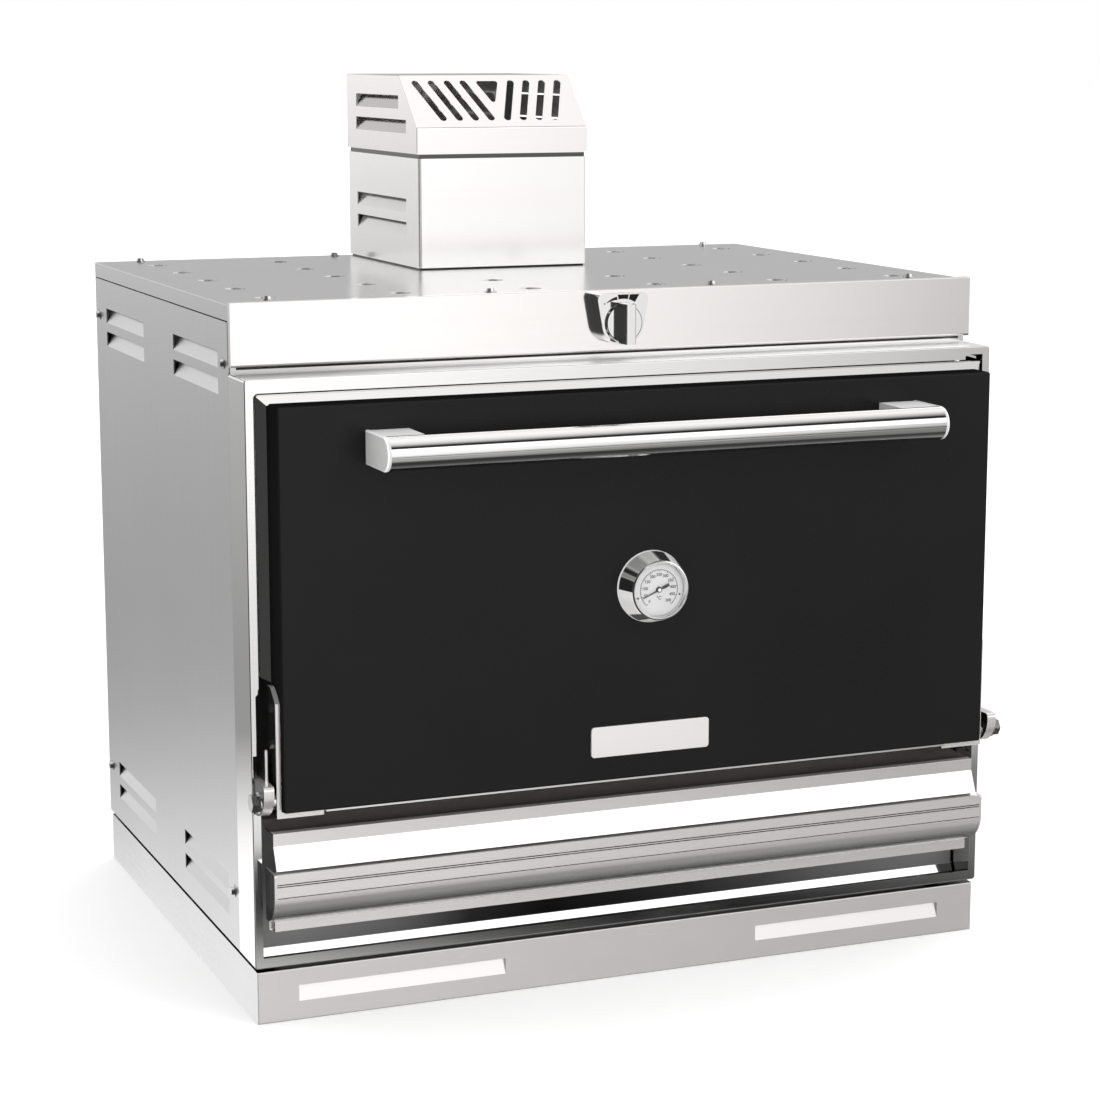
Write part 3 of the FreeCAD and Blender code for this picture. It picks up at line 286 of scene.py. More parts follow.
def polished(name, base=0.86, rough=0.07, along="X", frame=False, shade_ring=None):
    """Bright-polished steel: hairline wheel marks and a few dull smudges; on the frame the ledge is satin with painted
    shade that darkens it towards the left, and the rear-facing faces low down are rough and painted near black as
    shade; a given ring can be painted as a thin dark line of shade.
    """
    m, net, sh = material(name)
    s = {"X": (20.0, 1500.0, 1500.0), "Y": (1500.0, 20.0, 1500.0), "Z": (1500.0, 1500.0, 20.0)}[along]
    hair = net.noise(net.coords(s), 1.0, 2.0, 0.5)
    smudge = net.noise(net.coords((9.0, 9.0, 9.0)), 1.0, 4.0, 0.6)
    col = net.mix(net.span(hair, 0.3, 0.7, 0.0, 1.0), warm(base * 0.975, 0.02), warm(min(1.0, base * 1.02), 0.02))
    net.put(sh, "Base Color", col)
    sh.inputs["Metallic"].default_value = 1.0
    r = net.math("ADD", net.span(smudge, 0.5, 0.75, rough, rough + 0.02), net.span(hair, 0.3, 0.7, -0.008, 0.008))
    if frame:
        px, py, pz = net.place()
        nx, ny, nz = net.facing()
        top = net.math("MULTIPLY", net.smooth(nz, 0.8, 0.95), net.smooth(pz, 0.740, 0.745))
        r = net.lerp(top, r, 0.34)
        # Painted shade: faces that look back, below 8 cm, are painted near black and made rough.
        rear = net.math("MULTIPLY", net.smooth(ny, 0.5, 0.8), net.smooth(pz, 0.080, 0.084, 1.0, 0.0))
        # Painted shade: the ledge top's grey darkens towards the left end, and the ledge turns partly non-metal so the
        # grey shows.
        ledge = net.ramp(px, -0.5, 0.5, [(-0.5, 0.42), (-0.38, 0.50), (-0.28, 0.76), (-0.19, 0.86), (-0.09, 0.98), (0.42, 0.98), (0.5, 0.90)])
        net.put(sh, "Base Color", net.mix(rear, net.mix(top, col, ledge), grey(0.06)))
        net.put(sh, "Metallic", net.lerp(top, 1.0, 0.6))
        r = net.lerp(rear, r, 0.5)
    if shade_ring is not None:
        # Painted shade: a thin dark ring on the knob's face, where the disc's side lies in shade.
        cx, cz, r0, r1, y0 = shade_ring
        px, py, pz = net.place()
        dx, dz = net.math("SUBTRACT", px, cx), net.math("SUBTRACT", pz, cz)
        dist = net.math("SQRT", net.math("ADD", net.math("MULTIPLY", dx, dx), net.math("MULTIPLY", dz, dz)))
        line = net.math("MULTIPLY", net.inside(dist, r0, r1, 0.0001), net.smooth(py, y0 - 0.0008, y0 - 0.0003))
        net.put(sh, "Base Color", net.mix(line, col, grey(0.03)))
    net.put(sh, "Roughness", r)
    net.put(sh, "Normal", net.bump(hair, 0.002 if frame else 0.004, 0.00005))
    return m


def shaded_panel(name):
    """Polished foot below, and above it a satin face whose grey is painted shade, darkest in the middle and lighter
    towards the left and right.
    """
    m, net, sh = material(name)
    hair = net.noise(net.coords((20.0, 1500.0, 1500.0)), 1.0, 2.0, 0.5)
    px, py, pz = net.place()
    face = net.smooth(pz, 0.0806, 0.0812)
    # Painted shade: the face's grey, darkest in the middle of the panel.
    painted_shading = net.ramp(px, -0.5, 0.5, [(-0.50, 0.36), (-0.42, 0.33), (-0.30, 0.22), (-0.20, 0.035), (-0.10, 0.008), (0.0, 0.02), (0.10, 0.045), (0.20, 0.10), (0.30, 0.21), (0.42, 0.29), (0.5, 0.30)])
    comb = net.add("ShaderNodeCombineColor")
    for i in range(3):
        net.put(comb, i, net.math("MULTIPLY", painted_shading, net.span(hair, 0.3, 0.7, 0.96, 1.04)))
    bare_steel = net.mix(net.span(hair, 0.3, 0.7), warm(0.86, 0.02), warm(0.90, 0.02))
    net.put(sh, "Base Color", net.mix(face, bare_steel, comb.outputs[0]))
    net.put(sh, "Metallic", net.lerp(face, 1.0, 0.0))
    net.put(sh, "Roughness", net.math("ADD", net.lerp(face, 0.07, 0.5), net.span(hair, 0.3, 0.7, -0.008, 0.008)))
    net.put(sh, "Specular IOR Level", net.lerp(face, 0.5, 0.08))
    net.put(sh, "Normal", net.bump(hair, 0.004, 0.00005))
    return m


def shaded_sill(name, base=0.88, rough=0.07):
    """Bright-polished steel whose flat top carries painted light and shade: dark brown at the front, brightening
    towards the back, with faint dark clouds and a lighter grey line along the front edge; the upright front face is
    painted shade, lighter at the left.
    """
    m, net, sh = material(name)
    hair = net.noise(net.coords((20.0, 1500.0, 1500.0)), 1.0, 2.0, 0.5)
    cloud = net.noise(net.coords((9.0, 30.0, 30.0)), 1.0, 4.0, 0.6)
    px, py, pz = net.place()
    nx, ny, nz = net.facing()
    flat = net.smooth(nz, 0.85, 0.97)
    bare_steel = net.mix(net.span(hair, 0.3, 0.7), warm(base * 0.975, 0.02), warm(min(1.0, base * 1.02), 0.02))
    # Painted light and shade on the flat top: dark at the front, bright towards the back, lighter along the front edge.
    painted_shading = net.mix(net.span(py, -0.313, -0.258), (0.080, 0.070, 0.066, 1), (0.95, 0.87, 0.84, 1))
    painted_shading = net.mix(net.span(cloud, 0.3, 0.7, 0.0, 0.12), painted_shading, (0.090, 0.080, 0.075, 1))
    painted_shading = net.mix(net.smooth(py, -0.3152, -0.3140, 1.0, 0.0), painted_shading, (0.46, 0.445, 0.43, 1))
    # Painted shade on the upright front face, darker towards the right.
    upright = net.math("MULTIPLY", net.smooth(net.math("ABSOLUTE", ny), 0.975, 0.99), net.smooth(py, -0.3240, -0.3235, 1.0, 0.0))
    net.put(sh, "Base Color", net.mix(flat, net.mix(upright, bare_steel, net.mix(net.span(px, -0.47, 0.47), straw(0.60, 1.0), straw(0.37, 1.0))), painted_shading))
    net.put(sh, "Metallic", net.lerp(flat, net.lerp(upright, 1.0, 0.15), 0.15))
    r = net.math("ADD", rough, net.span(hair, 0.3, 0.7, -0.008, 0.008))
    r = net.lerp(upright, r, 0.32)
    net.put(sh, "Roughness", net.lerp(flat, r, 0.55))
    net.put(sh, "Specular IOR Level", net.lerp(flat, 0.5, 0.1))
    net.put(sh, "Normal", net.bump(hair, 0.004, 0.00005))
    return m


def enamel(name):
    """Satin black stove finish: fine orange peel and slight sheen changes."""
    m, net, sh = material(name)
    peel = net.noise(net.coords((700.0, 700.0, 700.0)), 1.0, 3.0, 0.55)
    cloud = net.noise(net.coords((4.0, 4.0, 4.0)), 1.0, 3.0, 0.5)
    col = net.mix(net.span(cloud, 0.3, 0.7), (0.0058, 0.0058, 0.0060, 1), (0.0074, 0.0073, 0.0074, 1))
    net.put(sh, "Base Color", col)
    net.put(sh, "Roughness", net.math("ADD", net.span(peel, 0.3, 0.7, 0.27, 0.33), net.span(cloud, 0.3, 0.7, -0.02, 0.02)))
    # Painted shade: faces that turn away from the front lose their sheen, so the door's sides render darker.
    nx, ny, nz = net.facing()
    flat = net.smooth(net.math("ABSOLUTE", ny), 0.35, 0.85)
    net.put(sh, "Specular IOR Level", net.math("MULTIPLY", flat, 0.20))
    net.put(sh, "Normal", net.bump(peel, 0.10, 0.00015))
    return m


def blasted(name):
    """Bead-blasted steel with painted highlights on its rounded edges and painted light on its top faces."""
    m, net, sh = material(name)
    nx, ny, nz = net.facing()
    ax = net.math("ABSOLUTE", nx)
    # Painted highlight: faces leaning partly towards ±X, the rounded edges of the end caps, turn near white and
    # smoother.
    edge_glint = net.math("MULTIPLY", net.smooth(ax, 0.10, 0.25), net.smooth(ax, 0.93, 0.985, 1.0, 0.0))
    bead = net.noise(net.coords((1400.0, 1400.0, 1400.0)), 1.0, 2.0, 0.5)
    hand = net.noise(net.coords((60.0, 60.0, 60.0)), 1.0, 3.0, 0.5)
    tone = net.mix(net.span(bead, 0.3, 0.7), warm(0.61, 0.01), warm(0.67, 0.01))
    tone = net.mix(net.smooth(hand, 0.5, 0.75, 0.0, 0.25), tone, warm(0.56, 0.01))
    # Painted light: upward faces lighten.
    tone = net.mix(net.smooth(nz, 0.7, 0.95, 0.0, 0.55), tone, grey(0.93))
    net.put(sh, "Base Color", net.mix(edge_glint, tone, grey(0.96)))
    net.put(sh, "Metallic", net.lerp(edge_glint, 0.22, 0.10))
    net.put(sh, "Roughness", net.math("ADD", net.span(bead, 0.3, 0.7, 0.40, 0.50), net.math("MULTIPLY", edge_glint, -0.2)))
    net.put(sh, "Normal", net.bump(bead, 0.04, 0.00008))
    return m


def scorched(name, base=(0.085, 0.075, 0.068), rough=0.62, metal=0.55):
    """Steel plate that has seen fire: blue-brown tints, sooty patches and pale ash dust on top faces."""
    m, net, sh = material(name)
    tint = net.noise(net.coords((7.0, 7.0, 7.0)), 1.0, 5.0, 0.6)
    soot_and_painted_shade = net.noise(net.coords((26.0, 26.0, 26.0)), 1.0, 6.0, 0.65)
    fine = net.noise(net.coords((420.0, 420.0, 420.0)), 1.0, 3.0, 0.6)
    c1 = net.mix(net.smooth(tint, 0.38, 0.64), (base[0], base[1], base[2], 1), (base[0] * 1.75, base[1] * 1.45, base[2] * 1.15, 1))
    c2 = net.mix(net.smooth(tint, 0.60, 0.72, 0.0, 0.5), c1, (base[0] * 0.8, base[1] * 1.0, base[2] * 1.5, 1))
    c3 = net.mix(net.smooth(soot_and_painted_shade, 0.50, 0.72, 0.0, 0.8), c2, (0.018, 0.016, 0.015, 1))
    geo = net.add("ShaderNodeNewGeometry")
    sep = net.add("ShaderNodeSeparateXYZ")
    net.put(sep, 0, geo.outputs["Normal"])
    dust = net.math("MULTIPLY", net.smooth(sep.outputs[2], 0.5, 0.95), net.smooth(soot_and_painted_shade, 0.42, 0.66, 0.05, 0.5))
    c4 = net.mix(dust, c3, (0.30, 0.28, 0.26, 1))
    net.put(sh, "Base Color", c4)
    sh.inputs["Metallic"].default_value = metal
    net.put(sh, "Roughness", net.math("ADD", net.span(soot_and_painted_shade, 0.3, 0.75, rough - 0.12, rough + 0.16), net.span(fine, 0.3, 0.7, -0.04, 0.04)))
    net.put(sh, "Normal", net.bump(net.math("ADD", soot_and_painted_shade, net.math("MULTIPLY", fine, 0.35)), 0.22, 0.0006))
    return m


def near_black_plate(name, v=0.030):
    """Plate in an even near black: matt, with a fine grain and slight clouds."""
    m, net, sh = material(name)
    cloud = net.noise(net.coords((6.0, 6.0, 6.0)), 1.0, 3.0, 0.5)
    fine = net.noise(net.coords((500.0, 500.0, 500.0)), 1.0, 3.0, 0.6)
    net.put(sh, "Base Color", net.mix(net.span(cloud, 0.3, 0.7), (v, v * 0.93, v * 0.88, 1), (v * 1.3, v * 1.2, v * 1.12, 1)))
    sh.inputs["Metallic"].default_value = 0.35
    net.put(sh, "Roughness", net.math("ADD", net.span(fine, 0.3, 0.7, 0.52, 0.62), net.span(cloud, 0.3, 0.7, -0.03, 0.03)))
    net.put(sh, "Normal", net.bump(fine, 0.10, 0.0003))
    return m


def cast_iron(name):
    m, net, sh = material(name)
    pit = net.noise(net.coords((330.0, 330.0, 330.0)), 1.0, 5.0, 0.65)
    patch = net.noise(net.coords((20.0, 20.0, 20.0)), 1.0, 5.0, 0.6)
    c = net.mix(net.smooth(patch, 0.42, 0.66), (0.030, 0.027, 0.025, 1), (0.085, 0.060, 0.045, 1))
    c = net.mix(net.smooth(patch, 0.60, 0.76, 0.0, 0.6), c, (0.23, 0.215, 0.20, 1))
    net.put(sh, "Base Color", c)
    sh.inputs["Metallic"].default_value = 0.35
    net.put(sh, "Roughness", net.span(pit, 0.25, 0.75, 0.62, 0.88))
    net.put(sh, "Normal", net.bump(pit, 0.45, 0.0008))
    return m


def fibre(name, base=(0.72, 0.70, 0.66)):
    m, net, sh = material(name)
    strand = net.noise(net.coords((240.0, 60.0, 240.0)), 1.0, 6.0, 0.7)
    clump = net.noise(net.coords((34.0, 34.0, 34.0)), 1.0, 4.0, 0.6)
    c = net.mix(net.span(strand, 0.3, 0.7), (base[0] * 0.7, base[1] * 0.7, base[2] * 0.68, 1), (*base, 1))
    c = net.mix(net.smooth(clump, 0.45, 0.7, 0.0, 0.35), c, (base[0] * 0.6, base[1] * 0.55, base[2] * 0.5, 1))
    net.put(sh, "Base Color", c)
    net.put(sh, "Roughness", net.span(strand, 0.2, 0.8, 0.86, 1.0))
    sh.inputs["Specular IOR Level"].default_value = 0.15
    net.put(sh, "Normal", net.bump(net.math("ADD", strand, clump), 0.6, 0.0015))
    return m


def rope(name):
    """Woven glass-fibre seal: a tight diagonal braid, greyed by sooty deposits."""
    m, net, sh = material(name)
    waves = []
    for rot in ((0.6, 0.0, 0.75), (-0.6, 0.0, -0.75)):
        w = net.add("ShaderNodeTexWave", wave_type="BANDS", bands_direction="DIAGONAL")
        net.put(w, "Vector", net.coords((1, 1, 1), rot))
        w.inputs["Scale"].default_value = 70.0
        w.inputs["Distortion"].default_value = 1.2
        w.inputs["Detail"].default_value = 2.0
        waves.append(w.outputs[1])
    braid = net.math("MAXIMUM", waves[0], waves[1])
    soot_and_painted_shade = net.noise(net.coords((30.0, 30.0, 30.0)), 1.0, 4.0, 0.6)
    c = net.mix(net.span(braid, 0.1, 0.9), (0.075, 0.072, 0.068, 1), (0.30, 0.29, 0.27, 1))
    c = net.mix(net.smooth(soot_and_painted_shade, 0.45, 0.7, 0.0, 0.55), c, (0.035, 0.033, 0.030, 1))
    net.put(sh, "Base Color", c)
    net.put(sh, "Roughness", net.span(braid, 0.0, 1.0, 0.95, 0.8))
    sh.inputs["Specular IOR Level"].default_value = 0.2
    net.put(sh, "Normal", net.bump(braid, 0.7, 0.0012))
    return m


def brass(name):
    m, net, sh = material(name)
    turn = net.noise(net.coords((60.0, 2600.0, 60.0)), 1.0, 2.0, 0.5)
    tarn = net.noise(net.coords((120.0, 120.0, 120.0)), 1.0, 4.0, 0.6)
    c = net.mix(net.smooth(tarn, 0.4, 0.7), (0.62, 0.42, 0.16, 1), (0.40, 0.25, 0.09, 1))
    net.put(sh, "Base Color", c)
    sh.inputs["Metallic"].default_value = 1.0
    net.put(sh, "Roughness", net.span(turn, 0.3, 0.7, 0.2, 0.36))
    net.put(sh, "Normal", net.bump(turn, 0.08, 0.0001))
    return m


def rubber(name):
    m, net, sh = material(name)
    speck = net.noise(net.coords((500.0, 500.0, 500.0)), 1.0, 4.0, 0.6)
    wear = net.noise(net.coords((40.0, 40.0, 40.0)), 1.0, 3.0, 0.6)
    net.put(sh, "Base Color", net.mix(net.smooth(wear, 0.4, 0.7), (0.016, 0.016, 0.016, 1), (0.045, 0.044, 0.042, 1)))
    net.put(sh, "Roughness", net.span(speck, 0.3, 0.7, 0.7, 0.9))
    net.put(sh, "Normal", net.bump(speck, 0.3, 0.0004))
    return m


def dial_face(name):
    """Matt white printed dial with a very faint paper-like mottle."""
    m, net, sh = material(name)
    tooth = net.noise(net.coords((900.0, 900.0, 900.0)), 1.0, 3.0, 0.6)
    age = net.noise(net.coords((40.0, 40.0, 40.0)), 1.0, 3.0, 0.5)
    c = net.mix(net.span(age, 0.3, 0.7), (0.60, 0.595, 0.60, 1), (0.66, 0.655, 0.66, 1))
    net.put(sh, "Base Color", c)
    net.put(sh, "Roughness", net.span(tooth, 0.3, 0.7, 0.5, 0.65))
    net.put(sh, "Normal", net.bump(tooth, 0.05, 0.0001))
    return m


def ink(name, v=0.012):
    m, net, sh = material(name)
    grain = net.noise(net.coords((1600.0, 1600.0, 1600.0)), 1.0, 2.0, 0.5)
    net.put(sh, "Base Color", net.mix(net.span(grain, 0.3, 0.7), grey(v), grey(v * 1.9)))
    net.put(sh, "Roughness", net.span(grain, 0.3, 0.7, 0.42, 0.6))
    sh.inputs["Specular IOR Level"].default_value = 0.15
    return m


def clear_glass(name):
    """Thin flat cover glass: nearly clear with a weak mirror and faint dust."""
    m, net, sh = material(name)
    dust = net.noise(net.coords((260.0, 260.0, 260.0)), 1.0, 4.0, 0.7)
    sh.inputs["Metallic"].default_value = 1.0
    net.put(sh, "Base Color", net.mix(net.smooth(dust, 0.5, 0.8), (0.95, 0.97, 0.97, 1), (0.80, 0.82, 0.82, 1)))
    net.put(sh, "Roughness", net.smooth(dust, 0.5, 0.8, 0.02, 0.10))
    sh.inputs["Alpha"].default_value = 0.055
    return m


def about_axis(net):
    """Angle in degrees round the thermometer axis, and distance from it."""
    sep = net.add("ShaderNodeSeparateXYZ")
    net.put(sep, 0, net.coords())
    dx = net.math("SUBTRACT", sep.outputs[0], GX)
    dz = net.math("SUBTRACT", sep.outputs[2], GZ)
    ang = net.math("MULTIPLY", net.math("ARCTAN2", dz, dx), 57.29578)
    rad = net.math("SQRT", net.math("ADD", net.math("MULTIPLY", dx, dx), net.math("MULTIPLY", dz, dz)))
    return ang, rad, sep.outputs[1]


def turned(name, base=0.86, rough=0.20):
    """Chromed lathe-turned metal: fine rings; on the cone, wedge-shaped light and dark sectors painted into an almost
    non-metal base as a painted reflection.
    """
    m, net, sh = material(name)
    ang, rad, depth = about_axis(net)
    rings = net.add("ShaderNodeCombineXYZ")
    net.put(rings, 0, net.math("MULTIPLY", rad, 4200.0))
    net.put(rings, 1, net.math("MULTIPLY", depth, 4200.0))
    net.put(rings, 2, net.math("MULTIPLY", ang, 0.02))
    ring = net.noise(rings.outputs[0], 1.0, 2.0, 0.5)
    smudge = net.noise(net.coords((60.0, 60.0, 60.0)), 1.0, 3.0, 0.5)
    # Painted reflection: light and dark sectors by angle round the axis, laid into the cone's colour.
    light = 1.0
    for mid, half, soft, level in ((81, 12, 2.0, 0.02), (104, 11, 7.0, 0.62), (128, 13, 5.0, 0.34), (147, 5.5, 3.0, 0.02), (155.5, 3.5, 2.5, 0.30),
                                   (173, 14, 1.6, 0.01), (-123, 10, 2.0, 0.10), (-155, 9, 6.0, 0.90), (25, 20, 6.0, 0.25), (-45, 35, 8.0, 0.20)):
        off = net.math("ABSOLUTE", net.math("SUBTRACT", ang, float(mid)))
        light = net.lerp(net.smooth(off, half - soft, half + soft, 1.0, 0.0), light, level)
    cone = net.math("MULTIPLY", net.smooth(depth, GY - 0.0046, GY - 0.0042), net.smooth(rad, 0.0340, 0.0350))
    foot = net.smooth(rad, 0.0431, 0.0434)
    light = net.lerp(net.math("MULTIPLY", cone, net.math("SUBTRACT", 1.0, foot)), 1.0, light)
    tone = net.mix(net.span(ring, 0.3, 0.7), warm(base * 0.95, 0.02), warm(base * 1.04, 0.02))
    net.put(sh, "Base Color", net.mix(light, grey(0.012), tone))
    net.put(sh, "Metallic", net.lerp(cone, 1.0, 0.05))
    net.put(sh, "Roughness", net.math("ADD", net.span(ring, 0.3, 0.7, rough - 0.03, rough + 0.03), net.span(smudge, 0.4, 0.7, 0.0, 0.03)))
    net.put(sh, "Normal", net.bump(ring, 0.02, 0.00004))
    return m


def pointer(name):
    """Matt black needle with a bright rivet at its middle."""
    m, net, sh = material(name)
    ang, rad, depth = about_axis(net)
    grain = net.noise(net.coords((1600.0, 1600.0, 1600.0)), 1.0, 2.0, 0.5)
    dark = net.mix(net.span(grain, 0.3, 0.7), grey(0.010), grey(0.018))
    rivet = net.smooth(rad, 0.00195, 0.00215, 1.0, 0.0)
    net.put(sh, "Base Color", net.mix(rivet, dark, grey(0.80)))
    net.put(sh, "Roughness", net.span(grain, 0.3, 0.7, 0.42, 0.6))
    sh.inputs["Specular IOR Level"].default_value = 0.15
    return m


side_z = brushed("steel_brushed_side", 0.736, 0.30, "Z", 0.6, tint=0.0)
front_x = brushed("steel_satin_front", 0.945, 0.10, "X", 0.2, tint=1.6)
# Top cover: the vent collar walls carry painted light.
top_x = brushed("steel_brushed_top", 0.738, 0.22, "X", 0.35, 1.0, (), 0.8404, tint=0.0)
# The plinth's tops are painted near black as shade in the gap under the frame.
plinth_x = brushed("steel_brushed_plinth", 0.82, 0.26, "X", 0.3, 0.80, shaded_lid_z=0.064)
plinth_y = brushed("steel_brushed_plinth_side", 0.72, 0.26, "Y", 0.6, 0.95, shaded_lid_z=0.064, tint=0.0)
# The chimney, hood and drawer finishes pass bands of painted shade: at the chimney's foot, on the hood below its lower
# edge, and on the drawer front's groove and crease.
chim_z = brushed("steel_satin_chimney", 0.95, 0.14, "X", 0.2, 0.80, ((-9.0, 0.80, 0.8480, 0.02),))
# Hood: its inward-facing faces are matt light grey.
hood_x = brushed("steel_satin_hood", 0.92, 0.10, "X", 0.2, 1.0, ((-9.0, 0.90, 0.9968, 0.10),), hollow=(0.2845, 1.047))
# Drawer front and hinge parts below: their end faces are painted darker as shade.
draw_x = brushed("steel_satin_drawer", 0.92, 0.20, "X", 0.3, 0.80, ((-0.3442, 0.1772, 0.1812, 0.02), (-0.3442, 0.1631, 0.1646, 0.02)), shaded_end_grey=0.16, cove=(0.1395, 0.1297, 0.1296, 0.1281))
hinge_z = brushed("steel_satin_hinge", 0.90, 0.22, "Z", 0.4, 0.75, shaded_end_grey=0.035)
back_x = brushed("steel_brushed_back", 0.70, 0.34, "Z", tint=0.0)
mirror_x = polished("steel_polished", 0.88, 0.07, "X")
badge_x = brushed("steel_satin_plate", 0.90, 0.14, "X", 0.2, 0.60)
frame_m = polished("steel_polished_frame", 0.88, 0.045, "X", True)
sill_m = shaded_sill("steel_polished_sill")
panel_m = shaded_panel("steel_panel_painted_shade")
mirror_z = polished("steel_polished_upright", 0.86, 0.08, "Z")
pan_x = polished("steel_polished_pan", 0.88, 0.06, "X")
satin_z = blasted("steel_blasted_block")
tinted = near_black_plate("steel_near_black", 0.055)
knob_m = polished("knob_steel", 0.86, 0.08, "Z", shade_ring=(-0.005, 0.8103, 0.0221, 0.0229, -0.2830))
bolt_m = polished("bolt_steel_bright", 0.66, 0.18, "X")
chrome = turned("gauge_chrome_turned", 0.94, 0.16)
black = enamel("black_enamel_satin")
fire_m = scorched("firebox_plate")
fire_d = scorched("hopper_plate", (0.065, 0.058, 0.053), 0.70, 0.4)
iron = cast_iron("grate_cast_iron")
blanket = fibre("ceramic_fibre")
seal = rope("rope_seal")
bush = brass("bush_bronze")
pad = rubber("pad_black_rubber")
dial_m = dial_face("dial_white_print")
ink_m = ink("dial_ink", 0.016)
needle_m = ink("stud_black_paint", 0.010)
pointer_m = pointer("needle_black_paint")
glass_m = clear_glass("cover_glass")
scale_m = ink("scale_ink", 0.006)

FINISH = {
    side_z: "side_panel_left side_panel_right",
    back_x: "back_panel base_floor",
    top_x: "top_cover",
    chim_z: "chimney_box",
    hood_x: "hood",
    draw_x: "ash_drawer_front",
    front_x: "fascia",
    plinth_x: "plinth_front",
    plinth_y: "plinth_frame",
    frame_m: "front_frame",
    sill_m: "sill_deflector",
    panel_m: "lower_front_panel",
    mirror_x: "handle_bar",
    badge_x: "badge_plate",
    satin_z: "handle_block_left handle_block_right",
    hinge_z: "hinge_lug_left hinge_lug_right hinge_bracket_left hinge_bracket_right",
    mirror_z: "knob_plate",
    pan_x: "door_inner_pan door_catch",
    tinted: "front_bulkhead spark_baffle",
    knob_m: "damper_knob",
    bolt_m: "hinge_bolts bracket_bolts cover_screws damper_shaft gauge_stem",
    chrome: "gauge_bezel",
    black: "door_front_panel",
    fire_m: "firebox_left_wall firebox_right_wall firebox_back_wall firebox_roof flue_throat rack_rail_left rack_rail_right grill_rack damper_flap",
    fire_d: "ash_hopper ash_drawer_tray drawer_runner_left drawer_runner_right grate_bearers",
    iron: "fire_grate",
    blanket: "body_insulation roof_insulation door_insulation",
    seal: "door_gasket",
    bush: "damper_bush",
    pad: "plinth_pads",
    dial_m: "gauge_dial",
    pointer_m: "gauge_needle",
    glass_m: "gauge_glass",
}
done = set()
for m, names in FINISH.items():
    for n in names.split():
        o = NODES[n]
        o.data.materials.clear()
        o.data.materials.append(m)
        done.add(n)
left = sorted(set(NODES) - done)
if left:
    raise RuntimeError("nodes with no finish: " + ", ".join(left))


# ---------------------------------------------------------------- printed marks
def mesh_object(name, bm, mat, body):
    bmesh.ops.recalc_face_normals(bm, faces=bm.faces)
    me = bpy.data.meshes.new(name)
    bm.to_mesh(me)
    bm.free()
    me.materials.append(mat)
    ob = bpy.data.objects.new(name, me)
    scene.collection.objects.link(ob)
    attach(ob, body)
    return ob


def plate(bm, pts, y, thick):
    """A thin closed plate from an outline of (x, z) points, its back at y, standing out towards -Y."""
    lo = [bm.verts.new((x, y, z)) for x, z in pts]
    hi = [bm.verts.new((x, y - thick, z)) for x, z in pts]
    bm.faces.new(hi)
    bm.faces.new(list(reversed(lo)))
    k = len(pts)
    for i in range(k):
        j = (i + 1) % k
        bm.faces.new((lo[i], lo[j], hi[j], hi[i]))


def polar(cx, cz, r, deg):
    a = math.radians(deg)
    return (cx + r * math.cos(a), cz + r * math.sin(a))


def arc_band(cx, cz, a0, a1, rin, rout, steps):
    inner = [polar(cx, cz, rin(i / steps), a0 + (a1 - a0) * i / steps) for i in range(steps + 1)]
    outer = [polar(cx, cz, rout(i / steps), a0 + (a1 - a0) * i / steps) for i in range(steps + 1)]
    return inner + outer[::-1]


def lettering(bm, text, size, x, z, y, thick):
    """Plain built-in characters, laid flat on a face that looks along -Y."""
    cu = bpy.data.curves.new("glyphs", "FONT")
    cu.body = text
    cu.size = size
    cu.align_x = "CENTER"
    cu.align_y = "CENTER"
    cu.extrude = thick / 2
    cu.offset = 0.024 * size
    ob = bpy.data.objects.new("glyphs", cu)
    scene.collection.objects.link(ob)
    bpy.context.view_layer.update()
    dep = bpy.context.evaluated_depsgraph_get()
    me = bpy.data.meshes.new_from_object(ob.evaluated_get(dep))
    me.transform(Matrix.Translation((x, y - thick / 2, z)) @ Matrix.Rotation(math.radians(90), 4, "X"))
    bm.from_mesh(me)
    bpy.data.objects.remove(ob)
    bpy.data.curves.remove(cu)
    bpy.data.meshes.remove(me)


INKT = 0.00006
bm = bmesh.new()
plate(bm, arc_band(GX, GZ, 228, -48, lambda t: 0.0240, lambda t: 0.0246, 96), GY, INKT)
for i in range(51):
    a = 228 - 276 * i / 50.0
    big = i % 5 == 0
    r0 = 0.0220 if big else 0.0228
    w = 0.00042 if big else 0.00026
    c, s = math.cos(math.radians(a)), math.sin(math.radians(a))
    pts = []
    for r, k in ((r0, -1), (0.0241, -1), (0.0241, 1), (r0, 1)):
        pts.append((GX + r * c - k * w * s, GZ + r * s + k * w * c))
    plate(bm, pts, GY, INKT * 0.9)
for i in range(11):
    x, z = polar(GX, GZ, 0.0182, 228 - 27.6 * i)
    lettering(bm, str(50 * i), 0.0050, x, z, GY, INKT)
lettering(bm, "°C", 0.0058, GX, GZ - 0.0102, GY, INKT)
dial_print = mesh_object("dial_print", bm, ink_m, "door")

bm = bmesh.new()
for a, r in ((198, 0.0284), (-15, 0.0276)):
    cx, cz = polar(GX, GZ, r, a)
    ring = [polar(cx, cz, 0.00125, 22.5 * i) for i in range(16)]
    top = [polar(cx, cz, 0.00070, 22.5 * i) for i in range(16)]
    lo = [bm.verts.new((x, GY, z)) for x, z in ring]
    mid = [bm.verts.new((x, GY - 0.0003, z)) for x, z in ring]
    hi = [bm.verts.new((x, GY - 0.0005, z)) for x, z in top]
    for p, q in ((lo, mid), (mid, hi)):
        for i in range(16):
            j = (i + 1) % 16
            bm.faces.new((p[i], p[j], q[j], q[i]))
    bm.faces.new(hi)
    bm.faces.new(list(reversed(lo)))
dial_studs = mesh_object("dial_studs", bm, needle_m, "door")

KX, KZ, KY = -0.005, 0.8103, -0.2780
bm = bmesh.new()


def line_top(deg):
    return min(0.0338 / max(0.2, math.sin(math.radians(deg))), 0.0400)


